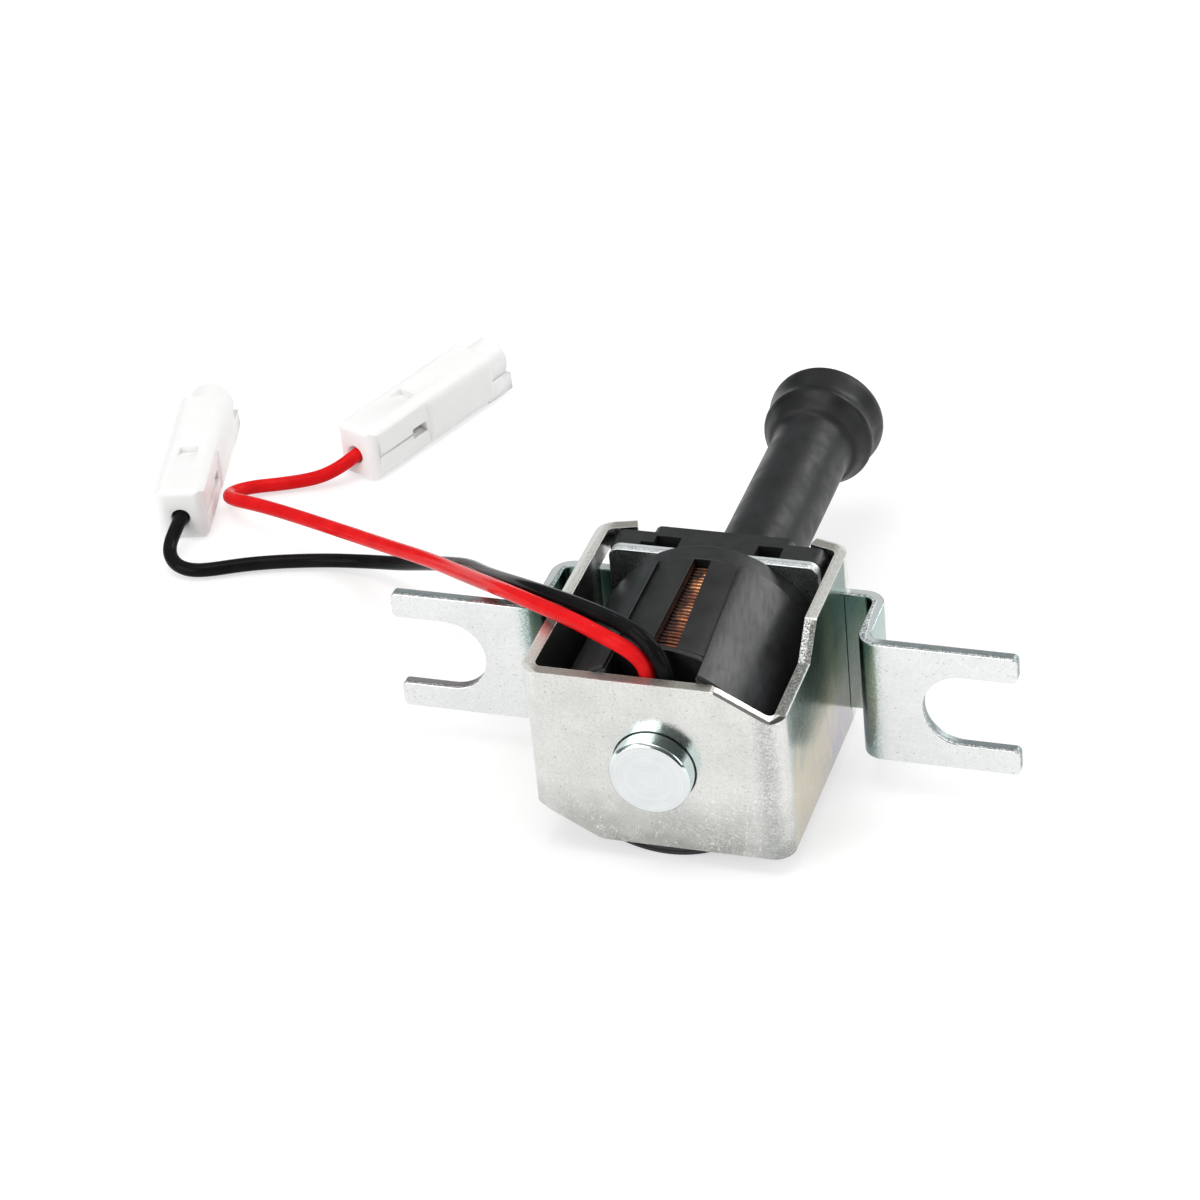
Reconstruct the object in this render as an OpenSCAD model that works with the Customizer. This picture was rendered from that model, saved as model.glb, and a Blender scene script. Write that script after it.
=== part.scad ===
// Pull-type open-frame solenoid with a fork-eared mounting bracket,
// a rubber-headed plunger and two plug-ended leads.
// Millimetres, +Z up, +Y along the plunger, origin under the middle of the solenoid.

/* [Coil] */
// Outer diameter of the wrapped coil
coil_d = 33.7; // [28:0.1:44]
// Thickness of each wrap layer
wrap_t = 0.6; // [0.3:0.05:1.2]
// Length of the bobbin, from the front wall to the flux plate
bobbin_len = 30.3; // [24:0.1:40]
// Thickness of the front bobbin flange, which holds the lead pocket
front_flange_t = 5.05; // [4:0.05:8]
// Thickness of the back bobbin flange
back_flange_t = 3.5; // [2:0.1:6]
// Wall of the bobbin barrel
barrel_t = 1.1; // [0.7:0.1:2]
// Spacing of the winding's outer turns
turn_pitch = 0.8; // [0.5:0.05:1.5]
// Slot in the inner wrap, left edge from the centre plane
slot_left = 1.4; // [0.8:0.1:3]
// Slot in the inner wrap, right edge at the back
slot_right_back = 1.1; // [0.6:0.1:3]
// Slot in the inner wrap, right edge at the front
slot_right_front = 2.4; // [0.6:0.1:4]
// Opening of the outer wrap, left edge from the centre plane
mouth_left = 6.8; // [4:0.1:9]
// Opening of the outer wrap, right edge at the back
mouth_right_back = 5.4; // [4:0.1:9]
// Opening of the outer wrap, right edge at the front
mouth_right_front = 6.8; // [4:0.1:9]
// Width of the lead pocket in the front flange
pocket_w = 13; // [8:0.1:15]
// Height of the pocket's floor above the plunger axis
pocket_floor = 9.6; // [9:0.1:12]
// Wall between the lead pocket and the winding
pocket_wall = 1; // [0.6:0.1:2]

/* [Frame] */
// Sheet thickness of the frame
frame_t = 1.8; // [1.2:0.1:2.5]
// Inside bend radius of the frame
frame_bend_r = 1.2; // [0.8:0.1:2]
// Gap between the coil and each side wall
side_gap = 0.35; // [0.2:0.05:1.5]
// Height of the frame
frame_h = 28; // [25:0.5:34]
// Height taken off at the two sheared corners
corner_drop = 4.6; // [2:0.1:6]
// Length of the slanted cut across the front face
corner_run = 8.2; // [5:0.1:11]
// Depth along the side wall where the level cut ends
corner_level = 15.3; // [10:0.1:18]
// Length of the slope that brings the wall back to full height
corner_slope = 4.8; // [2:0.1:8]
// Reach of the folded tabs, inward from the wall's outer face
tab_reach = 6.2; // [4:0.1:8]
// Clearance of the wall notches round the strap
notch_gap = 0.25; // [0.1:0.05:0.6]
// Clearance of the left wall's notch in front of the strap
notch_front = 2.1; // [0.2:0.1:3]
// Clearance of the left wall's notch above the strap
notch_over = 2; // [0.2:0.1:3]

/* [Flux plate and end plate] */
// Thickness of the flux plate
flux_t = 1.8; // [1.2:0.1:3]
// Gap between the flux plate and each side wall
flux_side_gap = 1.4; // [0.3:0.1:3]
// Corner radius of the flux plate
flux_corner_r = 1.6; // [0.5:0.1:3]
// Thickness of the end plate at its top and bottom bands
plate_t = 3.45; // [2.8:0.05:5]
// Depth of the raised middle of the end plate, between the tabs
plate_rise = 1.7; // [0.8:0.1:3]
// Gap between the raised middle and each tab
rise_gap = 2.2; // [1.2:0.1:4]
// Corner radius of the raised middle
rise_corner_r = 1.2; // [0.4:0.1:3]
// Width of the two pockets in the end plate's top
plate_pocket_w = 3.8; // [2:0.1:5]
// Distance of each pocket's middle from the centre plane
plate_pocket_x = 7.7; // [6:0.1:10]
// Depth of the pockets along the plunger axis
plate_pocket_y = 2.6; // [1.5:0.1:3]
// Depth of the pockets below the top edge
plate_pocket_z = 3.2; // [1:0.1:4.5]

/* [Mounting bracket] */
// Sheet thickness of the bracket
strap_t = 1.8; // [1.2:0.1:2.5]
// Inside bend radius of the bracket
strap_bend_r = 1.4; // [0.8:0.1:2]
// Height of the strap
strap_h = 20; // [17:0.5:22]
// Distance of the strap's middle below the plunger axis
strap_drop = 1.3; // [0:0.1:2]
// Gap between each bracket leg and the frame's side wall
leg_gap = 4.4; // [3:0.1:8]
// Depth of the bracket, from the ears' front to the web's back
hat_depth = 13.4; // [9:0.1:20]
// Reach of each ear from the leg's outer face
ear_reach = 21.7; // [18:0.1:30]
// Width of the fork slot
fork_w = 11.9; // [8:0.1:13]
// Distance from the ear's end to the middle of the slot's round bottom
fork_depth = 8; // [5:0.1:12]
// Corner radius of the fork prongs
prong_r = 0.8; // [0.4:0.1:1.9]

/* [Core and plunger] */
// Inner diameter of the guide tube
bore_d = 14.2; // [12:0.1:16]
// Wall of the guide tube
tube_t = 0.4; // [0.3:0.05:0.8]
// Diameter of the core spigot riveted through the front wall
spigot_d = 12; // [9:0.1:13]
// Length of the spigot in front of the frame
spigot_out = 3; // [1:0.1:6]
// Chamfer of the spigot's edge
spigot_chamfer = 0.4; // [0.1:0.1:1]
// Travel of the plunger
travel = 8; // [4:0.5:10]
// Thickness of the rubber bumper on the core
bumper_t = 0.8; // [0.5:0.1:1.5]
// Length of the steel armature
armature_len = 14.8; // [12:0.1:17]
// Thickness of the stop washer
washer_t = 1; // [0.6:0.1:1.5]
// Diameter of the plunger rod
rod_d = 6; // [4:0.1:8]
// Outer diameter of the rubber boot's tube
boot_d = 12.5; // [10:0.1:13]
// Distance from the flux plate to the tip of the boot
boot_reach = 61.1; // [45:0.1:80]
// Length of the boot's head
head_len = 10.4; // [8:0.1:14]
// Largest diameter of the boot's head
head_d = 18.5; // [15:0.1:24]
// Outer diameter of the return spring
spring_d = 5.9; // [5:0.1:7]
// Wire diameter of the return spring
spring_wire = 0.7; // [0.4:0.05:1]
// Number of spring turns
spring_turns = 8; // [5:1:12]
// Depth of the spring pocket in the core
core_pocket = 5; // [3:0.1:6]
// Depth of the spring pocket in the armature
armature_pocket = 4; // [2:0.1:8]

/* [Leads and connectors] */
// Outer diameter of each lead
lead_d = 2.3; // [1.6:0.1:2.4]
// Diameter of the crimped splices in the lead pocket
splice_d = 2.5; // [2:0.1:2.6]
// Length of the crimped splices
splice_len = 2.55; // [1.5:0.05:4]
// Width of the connector housings
plug_w = 9.2; // [9:0.1:12]
// Height of the connector housings
plug_h = 9.4; // [8.8:0.1:11]
// Length of the connector's rear block
plug_rear = 13.5; // [11:0.1:16]
// Length of the connector's front shell
plug_front = 17.3; // [12:0.1:22]
// Length of the nose, which is a round tongue above a flat lip
plug_nose = 4.8; // [3:0.1:8]
// Diameter of the nose's round tongue
tongue_d = 7.6; // [6:0.1:8.2]
// Height of the nose's flat lip
lip_h = 3; // [2:0.1:3.6]
// Step between the rear block and the front shell
plug_step = 0.4; // [0.2:0.1:0.8]
// Width of the terminal
terminal_w = 6.4; // [5:0.1:7]

/* [Fits] */
// Radial gap between pieces that are pressed or slipped together
fit_gap = 0.05; // [0.02:0.01:0.1]
// Radial running gap of the armature
slide_gap = 0.08; // [0.05:0.01:0.1]
// Radial gap around the boot where it passes the strap and end plate
boot_gap = 0.4; // [0.3:0.05:0.8]
// Gap at the end of the plunger's travel
stop_gap = 0.1; // [0.05:0.05:0.3]

/* [Hidden] */
$fn = 96;
// How far a cut runs past the face that it opens
cut = 1;
// Radial sizes from the bore outward
bore_r = bore_d / 2;
tube_r = bore_r + tube_t;
barrel_bore_r = tube_r + fit_gap;
barrel_r = barrel_bore_r + barrel_t;
coil_r = coil_d / 2;
flange_r = coil_r - wrap_t - fit_gap;
winding_r = flange_r - wrap_t - fit_gap;
frame_w = coil_d + 2 * (side_gap + frame_t);
wall_in = frame_w / 2 - frame_t;
frame_bend_out = frame_bend_r + frame_t;
// The tabs spring back by 7 in 24 after folding
tab_fold = 90 - atan(7 / 24);
// Stations along the plunger axis, from the frame's front face
y_in = frame_t;
y_wind = y_in + front_flange_t;
y_flux = y_in + bobbin_len;
y_wind_end = y_flux - back_flange_t;
y_strap = y_flux + flux_t;
y_tab = y_strap + plate_t;
y_tip = y_strap + boot_reach;
y_armature_back = y_strap - stop_gap - washer_t;
y_armature = y_armature_back - armature_len;
y_bumper = y_armature - travel - 2 * stop_gap - bumper_t;
y_mid = (y_tip - spigot_out) / 2;
// Strap and ears
strap_top = strap_h / 2 - strap_drop;
strap_low = -strap_h / 2 - strap_drop;
notch_low = strap_low - notch_gap;
leg_x = frame_w / 2 + leg_gap;
ear_end = leg_x + strap_t + ear_reach;
fork_x = ear_end - fork_depth;
strap_hole_r = boot_d / 2 + boot_gap;
// Small sizes of the plunger, its boot and the spring
armature_r = bore_r - slide_gap;
washer_r = bore_r - 0.15;
boot_bore_r = rod_d / 2 + fit_gap;
spring_r = (spring_d - spring_wire) / 2;
spring_pocket_r = spring_d / 2 + 0.35;
y_rod_end = y_tip - head_len / 2;
barb_len = 3;
barb_r = rod_d / 2 + 0.6;
// Connector frames: middle of the rear face and heading from +Y
plug_z = 4.4;
plug_hole_r = lead_d / 2 + 0.45;
lead_in = 4;
red_plug_at = [-80.4, 43.5];
red_plug_turn = -21.5;
black_plug_at = [-102.2, 20.2];
black_plug_turn = 13.8;
// Foot of the leads: the top of the splices that stand in the pocket
lead_foot = [0, y_in + splice_d / 2 + 3 * fit_gap - y_mid, coil_r + pocket_floor + splice_len];
// Routes of the leads: the rise out of the pocket and over the wall, measured from the foot,
// and the rest of the way down to the table and into the plug
red_rise = [
  [-0.9, 0, 0], [-0.9, 0, 1.4], [-1.2, 0, 2.7], [-1.9, 0, 3.9], [-2.9, 0, 4.9],
  [-4.2, 0.1, 5.7], [-6.1, 0.6, 6.2], [-8.6, 1.9, 6.3], [-11.4, 3.9, 5.9], [-14.7, 6.3, 5.2],
  [-18.4, 9, 4.3], [-22.8, 12.3, 3.1]
];
red_lay = [
  [-28.1, -25.6, 29.8], [-34, -19.2, 26.3], [-40.2, -12.2, 22.4], [-47.4, -4.4, 18.4], [-53.7, 0.8, 15.8],
  [-60.2, 5.9, 13.2], [-66.8, 10.9, 10.9], [-73.7, 15.6, 8.8], [-80.9, 20, 7.1], [-88.4, 24, 5.6],
  [-91.8, 25.5, 5], [-94, 26.4, 4.6], [-96, 27.5, 4.1], [-97.6, 29.2, 3.3], [-98.2, 31.4, 2.5],
  [-97.7, 33.6, 1.8], [-96.2, 35.4, 1.4], [-94.1, 36.6, 1.2], [-91.9, 37.4, 1.2], [-88.2, 38.8, 1.4],
  [-85.9, 39.7, 1.7], [-83.8, 40.5, 2.5], [-81.9, 41.7, 3.4], [-80.5, 43.4, 4.2], [-79.6, 45.4, 4.4],
  [-78.9, 47.2, 4.4]
];
black_rise = [
  [1.8, 0, 0], [1.8, 0, 1.4], [1.5, 0.1, 2.9], [0.8, 0.3, 4.4], [-0.3, 0.8, 5.7],
  [-1.9, 1.5, 6.6], [-3.9, 2.5, 7.1], [-6.2, 3.9, 7.1], [-8.8, 5.6, 6.7], [-11.8, 7.7, 6],
  [-15.1, 9.9, 5.2], [-18.8, 12.5, 4.1]
];
black_lay = [
  [-23.4, -26.7, 31.4], [-28.9, -20.9, 28], [-34.2, -14.4, 24], [-38.8, -8.4, 20.4],
  [-42.1, -3.2, 17.5], [-47.5, 2.3, 13.6], [-53, 7.6, 9.6], [-59.1, 12.2, 5.8], [-62.2, 14.1, 4.2],
  [-65.6, 15.8, 2.9], [-69.3, 16.9, 1.9],
  [-73.3, 17.2, 1.4], [-77.2, 16.9, 1.2], [-85.6, 14.9, 1.2], [-90.5, 12.8, 1.2], [-92.7, 11.7, 1.2],
  [-94.9, 10.8, 1.2], [-97.3, 10.4, 1.2], [-99.6, 11, 1.5], [-101.3, 12.6, 2], [-102.2, 14.7, 2.6],
  [-102.2, 16.9, 3.4], [-102.2, 19.2, 4.1], [-102.5, 21.6, 4.4], [-103.2, 24.1, 4.4]
];
red_route = concat([for (p = red_rise) lead_foot + p], red_lay);
black_route = concat([for (p = black_rise) lead_foot + p], black_lay);

// Moves the solenoid from its frame's front face to the shared origin
module seat() {
  translate([0, -y_mid, coil_r])
    children();
}

// A body of revolution about the plunger axis, its profile given as radius and station
module turned() {
  rotate([-90, 0, 0])
    rotate_extrude()
      children();
}

// A front-view outline given depth along the plunger axis
module slab(y, depth) {
  translate([0, y + depth, 0])
    rotate([90, 0, 0])
      linear_extrude(height = depth)
        children();
}

// A plan-view outline given height, from z upward
module column(z, height) {
  translate([0, 0, z])
    linear_extrude(height = height)
      children();
}

module rounded_rect(w, h, r) {
  square([w - 2 * r, h], center = true);
  square([w, h - 2 * r], center = true);
  for (sx = [-1, 1], sy = [-1, 1])
    translate([sx * (w / 2 - r), sy * (h / 2 - r)])
      circle(r);
}

// A bend of a sheet: part of a ring, from one angle through a sweep
module bend(r, t, from, sweep) {
  far = 3 * (r + t);
  intersection() {
    difference() {
      circle(r + t);
      circle(r);
    }
    polygon([
      [0, 0],
      [far * cos(from), far * sin(from)],
      [far * cos(from + sweep / 2), far * sin(from + sweep / 2)],
      [far * cos(from + sweep), far * sin(from + sweep)]
    ]);
  }
}

// The edge view of a folded strip: each leg is a length and the bend after it
module strip(t, r, legs, i = 0) {
  if (i < len(legs)) {
    run = legs[i][0];
    turn = legs[i][1];
    square([run, t]);
    translate([run, 0]) {
      if (turn > 0)
        translate([0, t + r]) {
          bend(r, t, -90, turn);
          rotate(turn)
            translate([0, -t - r])
              strip(t, r, legs, i + 1);
        }
      if (turn < 0)
        translate([0, -r]) {
          bend(r, t, 90 + turn, -turn);
          rotate(turn)
            translate([0, r])
              strip(t, r, legs, i + 1);
        }
    }
  }
}

// One sheared corner: a slanted cut over the front face, a level cut and a slope on the wall
module corner_cut() {
  top = frame_h / 2;
  low = top - corner_drop;
  x0 = wall_in - corner_run;
  far = frame_w;
  fold_overlap = 0.5;
  slab(-cut, frame_bend_out + cut + fold_overlap)
    polygon([[x0, top], [wall_in, low], [far, low], [far, top + cut], [x0, top + cut]]);
  translate([wall_in - cut, 0, 0])
    rotate([90, 0, 90])
      linear_extrude(height = frame_t + 2 * cut)
        polygon([
          [frame_bend_out, low], [corner_level, low],
          [corner_level + corner_slope, top], [corner_level + corner_slope, top + cut],
          [frame_bend_out, top + cut]
        ]);
}

// Cut for the strap in the right wall and its tab, with its room in front of and above the strap
module wall_notch(front, over) {
  translate([wall_in - tab_reach, y_strap - front, notch_low])
    cube([frame_w, plate_t + front + 4 * frame_t, strap_top + over - notch_low]);
}

module frame() {
  front = frame_w / 2 - frame_bend_out;
  side = y_tab + frame_t - 2 * frame_bend_out;
  tab = (tab_reach - frame_bend_out) / sin(tab_fold);
  color("silver")
    seat()
      difference() {
        column(-frame_h / 2, frame_h)
          for (m = [0, 1])
            mirror([m, 0])
              strip(frame_t, frame_bend_r, [[front, 90], [side, tab_fold], [tab, 0]]);
        turned()
          translate([0, -cut])
            square([spigot_d / 2 + fit_gap, frame_t + 2 * cut]);
        corner_cut();
        rotate([0, 180, 0])
          corner_cut();
        wall_notch(notch_gap, notch_gap);
        mirror([1, 0, 0])
          wall_notch(notch_front, notch_over);
      }
}

module fixed_core() {
  spigot_r = spigot_d / 2;
  c = spigot_chamfer;
  core_r = bore_r - fit_gap;
  color("gainsboro")
    seat()
      turned()
        difference() {
          polygon([
            [0, -spigot_out], [spigot_r - c, -spigot_out], [spigot_r, -spigot_out + c],
            [spigot_r, y_in], [core_r, y_in], [core_r, y_bumper - c], [core_r - c, y_bumper],
            [0, y_bumper]
          ]);
          translate([-cut, y_bumper - core_pocket])
            square([spring_pocket_r + cut, core_pocket + cut]);
        }
}

module core_bumper() {
  rim = 1;
  color("dimgray")
    seat()
      turned()
        translate([spring_pocket_r, y_bumper])
          square([bore_r - rim - spring_pocket_r, bumper_t]);
}

module guide_tube() {
  color("goldenrod")
    seat()
      turned()
        translate([bore_r, y_in])
          square([tube_t, y_strap - y_in]);
}

module bobbin() {
  color("dimgray")
    seat()
      difference() {
        turned()
          polygon([
            [barrel_bore_r, y_in], [flange_r, y_in], [flange_r, y_wind], [barrel_r, y_wind],
            [barrel_r, y_wind_end], [flange_r, y_wind_end], [flange_r, y_flux],
            [barrel_bore_r, y_flux]
          ]);
        translate([-pocket_w / 2, y_in - cut, pocket_floor])
          cube([pocket_w, front_flange_t - pocket_wall + cut, coil_r]);
      }
}

// Copper coil with one rounded ridge for every turn of its outer layer
module winding() {
  r = turn_pitch / 2;
  sides = 4;
  step = 180 / sides;
  span = y_wind_end - y_wind;
  turns = floor(span / turn_pitch);
  y0 = y_wind + (span - turns * turn_pitch) / 2;
  color("peru")
    seat()
      turned()
        polygon(concat(
          [[barrel_r + fit_gap, y_wind], [winding_r - r, y_wind]],
          [for (i = [0 : turns - 1], k = [0 : sides - 1])
            let (a = step * (k + 0.5))
            [winding_r - r + r * sin(a), y0 + r * (2 * i + 1 - cos(a))]],
          [[winding_r - r, y_wind_end], [barrel_r + fit_gap, y_wind_end]]
        ));
}

// A wrap round the coil, open along the top between two straight cut edges
module wrap(r_in, y0, y1, left, right_front, right_back) {
  difference() {
    turned()
      translate([r_in, y0])
        square([wrap_t, y1 - y0]);
    column(0, coil_r + cut)
      polygon([
        [-left, y0 - cut], [right_front, y0 - cut], [right_front, y0],
        [right_back, y1], [right_back, y1 + cut], [-left, y1 + cut]
      ]);
  }
}

module inner_wrap() {
  color([0.2, 0.2, 0.21])
    seat()
      wrap(winding_r + fit_gap, y_wind, y_wind_end, slot_left, slot_right_front, slot_right_back);
}

module outer_wrap() {
  color([0.15, 0.15, 0.16])
    seat()
      wrap(flange_r + fit_gap, y_in, y_wind_end, mouth_left, mouth_right_front, mouth_right_back);
}

module flux_plate() {
  color("lightslategray")
    seat()
      slab(y_flux, flux_t)
        difference() {
          rounded_rect(2 * (wall_in - flux_side_gap), frame_h, flux_corner_r);
          circle(tube_r + fit_gap);
        }
}

// Front view of the bracket: a plain strap whose ends are two-pronged forks
module bracket_outline() {
  prong = (strap_h - fork_w) / 2;
  difference() {
    union() {
      square([2 * fork_x, strap_h], center = true);
      for (sx = [-1, 1], sz = [-1, 1])
        translate([sx * ((ear_end + fork_x) / 2 - prong_r), sz * (strap_h - prong) / 2])
          rounded_rect(ear_end - fork_x + 2 * prong_r, prong, prong_r);
    }
    for (sx = [-1, 1])
      translate([sx * fork_x, 0]) {
        circle(fork_w / 2);
        translate([sx * fork_depth, 0])
          square([2 * fork_depth, fork_w], center = true);
      }
  }
}

module mounting_bracket() {
  web = leg_x - strap_bend_r;
  leg = hat_depth - 2 * strap_bend_r - 2 * strap_t;
  ear = ear_reach - strap_bend_r;
  color("lightgray")
    seat()
      difference() {
        intersection() {
          column(strap_low, strap_h)
            translate([0, y_strap])
              for (m = [0, 1])
                mirror([m, 0])
                  strip(strap_t, strap_bend_r, [[web, -90], [leg, 90], [ear, 0]]);
          translate([0, 0, -strap_drop])
            slab(y_strap + strap_t - hat_depth - cut, hat_depth + 2 * cut)
              bracket_outline();
        }
        turned()
          translate([0, y_strap - cut])
            square([strap_hole_r, strap_t + 2 * cut]);
      }
}

// Moulded plate that carries the strap in a channel and stands proud between the tabs
module end_plate() {
  plate_w = frame_w - 2 * frame_bend_out;
  rise_w = frame_w - 2 * (tab_reach + rise_gap);
  top = frame_h / 2;
  pocket_low = top - plate_pocket_z;
  ledge_y = 0.8;
  color([0.13, 0.13, 0.14])
    seat()
      difference() {
        union() {
          slab(y_strap, plate_t)
            rounded_rect(plate_w, frame_h, flux_corner_r);
          slab(y_strap + plate_t / 2, plate_t / 2 + plate_rise)
            rounded_rect(rise_w, frame_h, rise_corner_r);
        }
        translate([-frame_w / 2, y_strap - cut, notch_low])
          cube([frame_w, strap_t + cut, strap_h + 2 * notch_gap]);
        turned()
          translate([0, y_strap - cut])
            square([strap_hole_r + fit_gap, plate_t + plate_rise + 2 * cut]);
        for (sx = [-1, 1])
          translate([sx * plate_pocket_x - plate_pocket_w / 2, y_strap - cut, pocket_low])
            cube([plate_pocket_w, plate_pocket_y + cut, plate_pocket_z + cut]);
        translate([-plate_pocket_x - plate_pocket_w, y_strap - cut, pocket_low])
          cube([plate_pocket_w, ledge_y + cut, plate_pocket_z + cut]);
      }
}

// Steel armature with a barbed rod
module plunger() {
  rod_r = rod_d / 2;
  c = 0.5;
  color("slategray")
    seat()
      turned()
        difference() {
          polygon([
            [0, y_armature], [armature_r - c, y_armature], [armature_r, y_armature + c],
            [armature_r, y_armature_back - c], [armature_r - c, y_armature_back],
            [rod_r, y_armature_back], [rod_r, y_rod_end - barb_len],
            [barb_r, y_rod_end - barb_len], [rod_r - c, y_rod_end], [0, y_rod_end]
          ]);
          translate([-cut, y_armature - cut])
            square([spring_pocket_r + cut, armature_pocket + cut]);
        }
}

module stop_washer() {
  color("dimgray")
    seat()
      turned()
        translate([rod_d / 2 + fit_gap, y_armature_back])
          square([washer_r - rod_d / 2 - fit_gap, washer_t]);
}

// Rubber boot: a plain tube that swells to a ridged, blunt head
module plunger_boot() {
  r = boot_d / 2;
  hr = head_d / 2;
  y0 = y_armature_back + washer_t;
  yh = y_tip - head_len;
  g = fit_gap;
  color([0.1, 0.1, 0.11])
    seat()
      turned()
        difference() {
          union() {
            translate([0, y0])
              square([r, yh - y0 + cut]);
            polygon([
              [0, yh], [r, yh], [r + 0.25, yh + 0.35], [r + 0.7, yh + 0.6], [hr - 0.55, yh + 3.7],
              [hr - 0.4, yh + 4.2], [hr - 0.5, yh + 4.6], [hr - 0.6, yh + 5.4], [hr - 0.55, yh + 6.2],
              [hr - 0.1, yh + head_len - 2.1], [hr, yh + head_len - 1.5], [hr - 0.05, yh + head_len - 0.8],
              [hr - 0.35, yh + head_len - 0.2], [hr - 0.8, yh + head_len], [0, yh + head_len]
            ]);
          }
          polygon([
            [-cut, y0 - cut], [boot_bore_r, y0 - cut], [boot_bore_r, y_rod_end - barb_len - g],
            [barb_r + g, y_rod_end - barb_len - g], [rod_d / 2 - 0.5 + 2 * g, y_rod_end + g],
            [-cut, y_rod_end + g]
          ]);
        }
}

function unit(v) = v / norm(v);

// Ring directions carried along a path without twist
function heading(p, i) =
  i == 0 ? unit(p[1] - p[0]) :
  i == len(p) - 1 ? unit(p[i] - p[i - 1]) :
  unit(unit(p[i] - p[i - 1]) + unit(p[i + 1] - p[i]));
function across(p, i, first) =
  i == 0 ? unit(first - heading(p, 0) * (first * heading(p, 0))) :
  let (h = heading(p, i), a = across(p, i - 1, first))
  unit(a - h * (a * h));

// A round tube along a list of points
module tube_along(p, r, sides, first) {
  n = len(p);
  points = [for (i = [0 : n - 1])
    let (a = across(p, i, first), b = cross(heading(p, i), a))
    for (k = [0 : sides - 1])
      p[i] + r * (cos(360 * k / sides) * a + sin(360 * k / sides) * b)];
  walls = [for (i = [0 : n - 2], k = [0 : sides - 1])
    let (q = (k + 1) % sides)
    each [
      [i * sides + k, (i + 1) * sides + k, (i + 1) * sides + q],
      [i * sides + k, (i + 1) * sides + q, i * sides + q]
    ]];
  start = [for (k = [0 : sides - 1]) k];
  end = [for (k = [sides - 1 : -1 : 0]) (n - 1) * sides + k];
  polyhedron(points = points, faces = concat(walls, [start, end]));
}

module return_spring() {
  y0 = y_bumper - core_pocket + spring_wire / 2 + fit_gap;
  y1 = y_armature + armature_pocket - spring_wire / 2 - fit_gap;
  per_turn = 12;
  steps = per_turn * spring_turns;
  coil = [for (i = [0 : steps])
    let (a = 360 * i / per_turn)
    [spring_r * cos(a), y0 + (y1 - y0) * i / steps, spring_r * sin(a)]];
  color("gray")
    seat()
      tube_along(coil, spring_wire / 2, 6, [1, 0, 0]);
}

// Crimped ferrule that stands in the lead pocket under the end of a lead
module splice(at) {
  floor_z = coil_r + pocket_floor;
  translate([at[0], at[1], floor_z])
    cylinder(h = at[2] - floor_z, d = splice_d);
}

module red_splice() {
  color("tan")
    splice(red_route[0]);
}

module black_splice() {
  color("tan")
    splice(black_route[0]);
}

module red_lead() {
  color("red")
    tube_along(red_route, lead_d / 2, 8, [0, 1, 0]);
}

module black_lead() {
  color([0.08, 0.08, 0.08])
    tube_along(black_route, lead_d / 2, 8, [0, 1, 0]);
}

// Places a connector that is drawn with its rear face at y = 0 and its base at z = 0
module plug_seat(at, turn) {
  translate([at[0], at[1], 0])
    rotate([0, 0, turn])
      children();
}

// Plan view of the shell: rear block and wider front
module plug_plan() {
  rear_r = 2;
  front_r = 1.6;
  translate([0, plug_rear / 2 + cut])
    rounded_rect(plug_w - 2 * plug_step, plug_rear + 2 * cut, rear_r);
  translate([0, plug_rear + plug_front / 2])
    rounded_rect(plug_w, plug_front, front_r);
}

// The nose: a round tongue with a bevelled end, above a lip as wide as the rear block
module plug_nose_solid() {
  root = 2;
  bevel = 1;
  bevel_in = 0.8;
  tongue_drop = 0.3;
  lip_rise = 0.5;
  lip_back = 0.6;
  y0 = plug_rear + plug_front - root;
  reach = plug_nose + root;
  lip_w = plug_w - 2 * plug_step;
  tongue_z = plug_h - tongue_drop - tongue_d / 2;
  translate([0, y0, tongue_z])
    rotate([-90, 0, 0]) {
      cylinder(h = reach - bevel, d = tongue_d);
      translate([0, 0, reach - bevel])
        cylinder(h = bevel, d1 = tongue_d, d2 = tongue_d - 2 * bevel_in);
    }
  translate([-lip_w / 2, y0, lip_rise])
    cube([lip_w, reach - lip_back, lip_h]);
}

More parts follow.
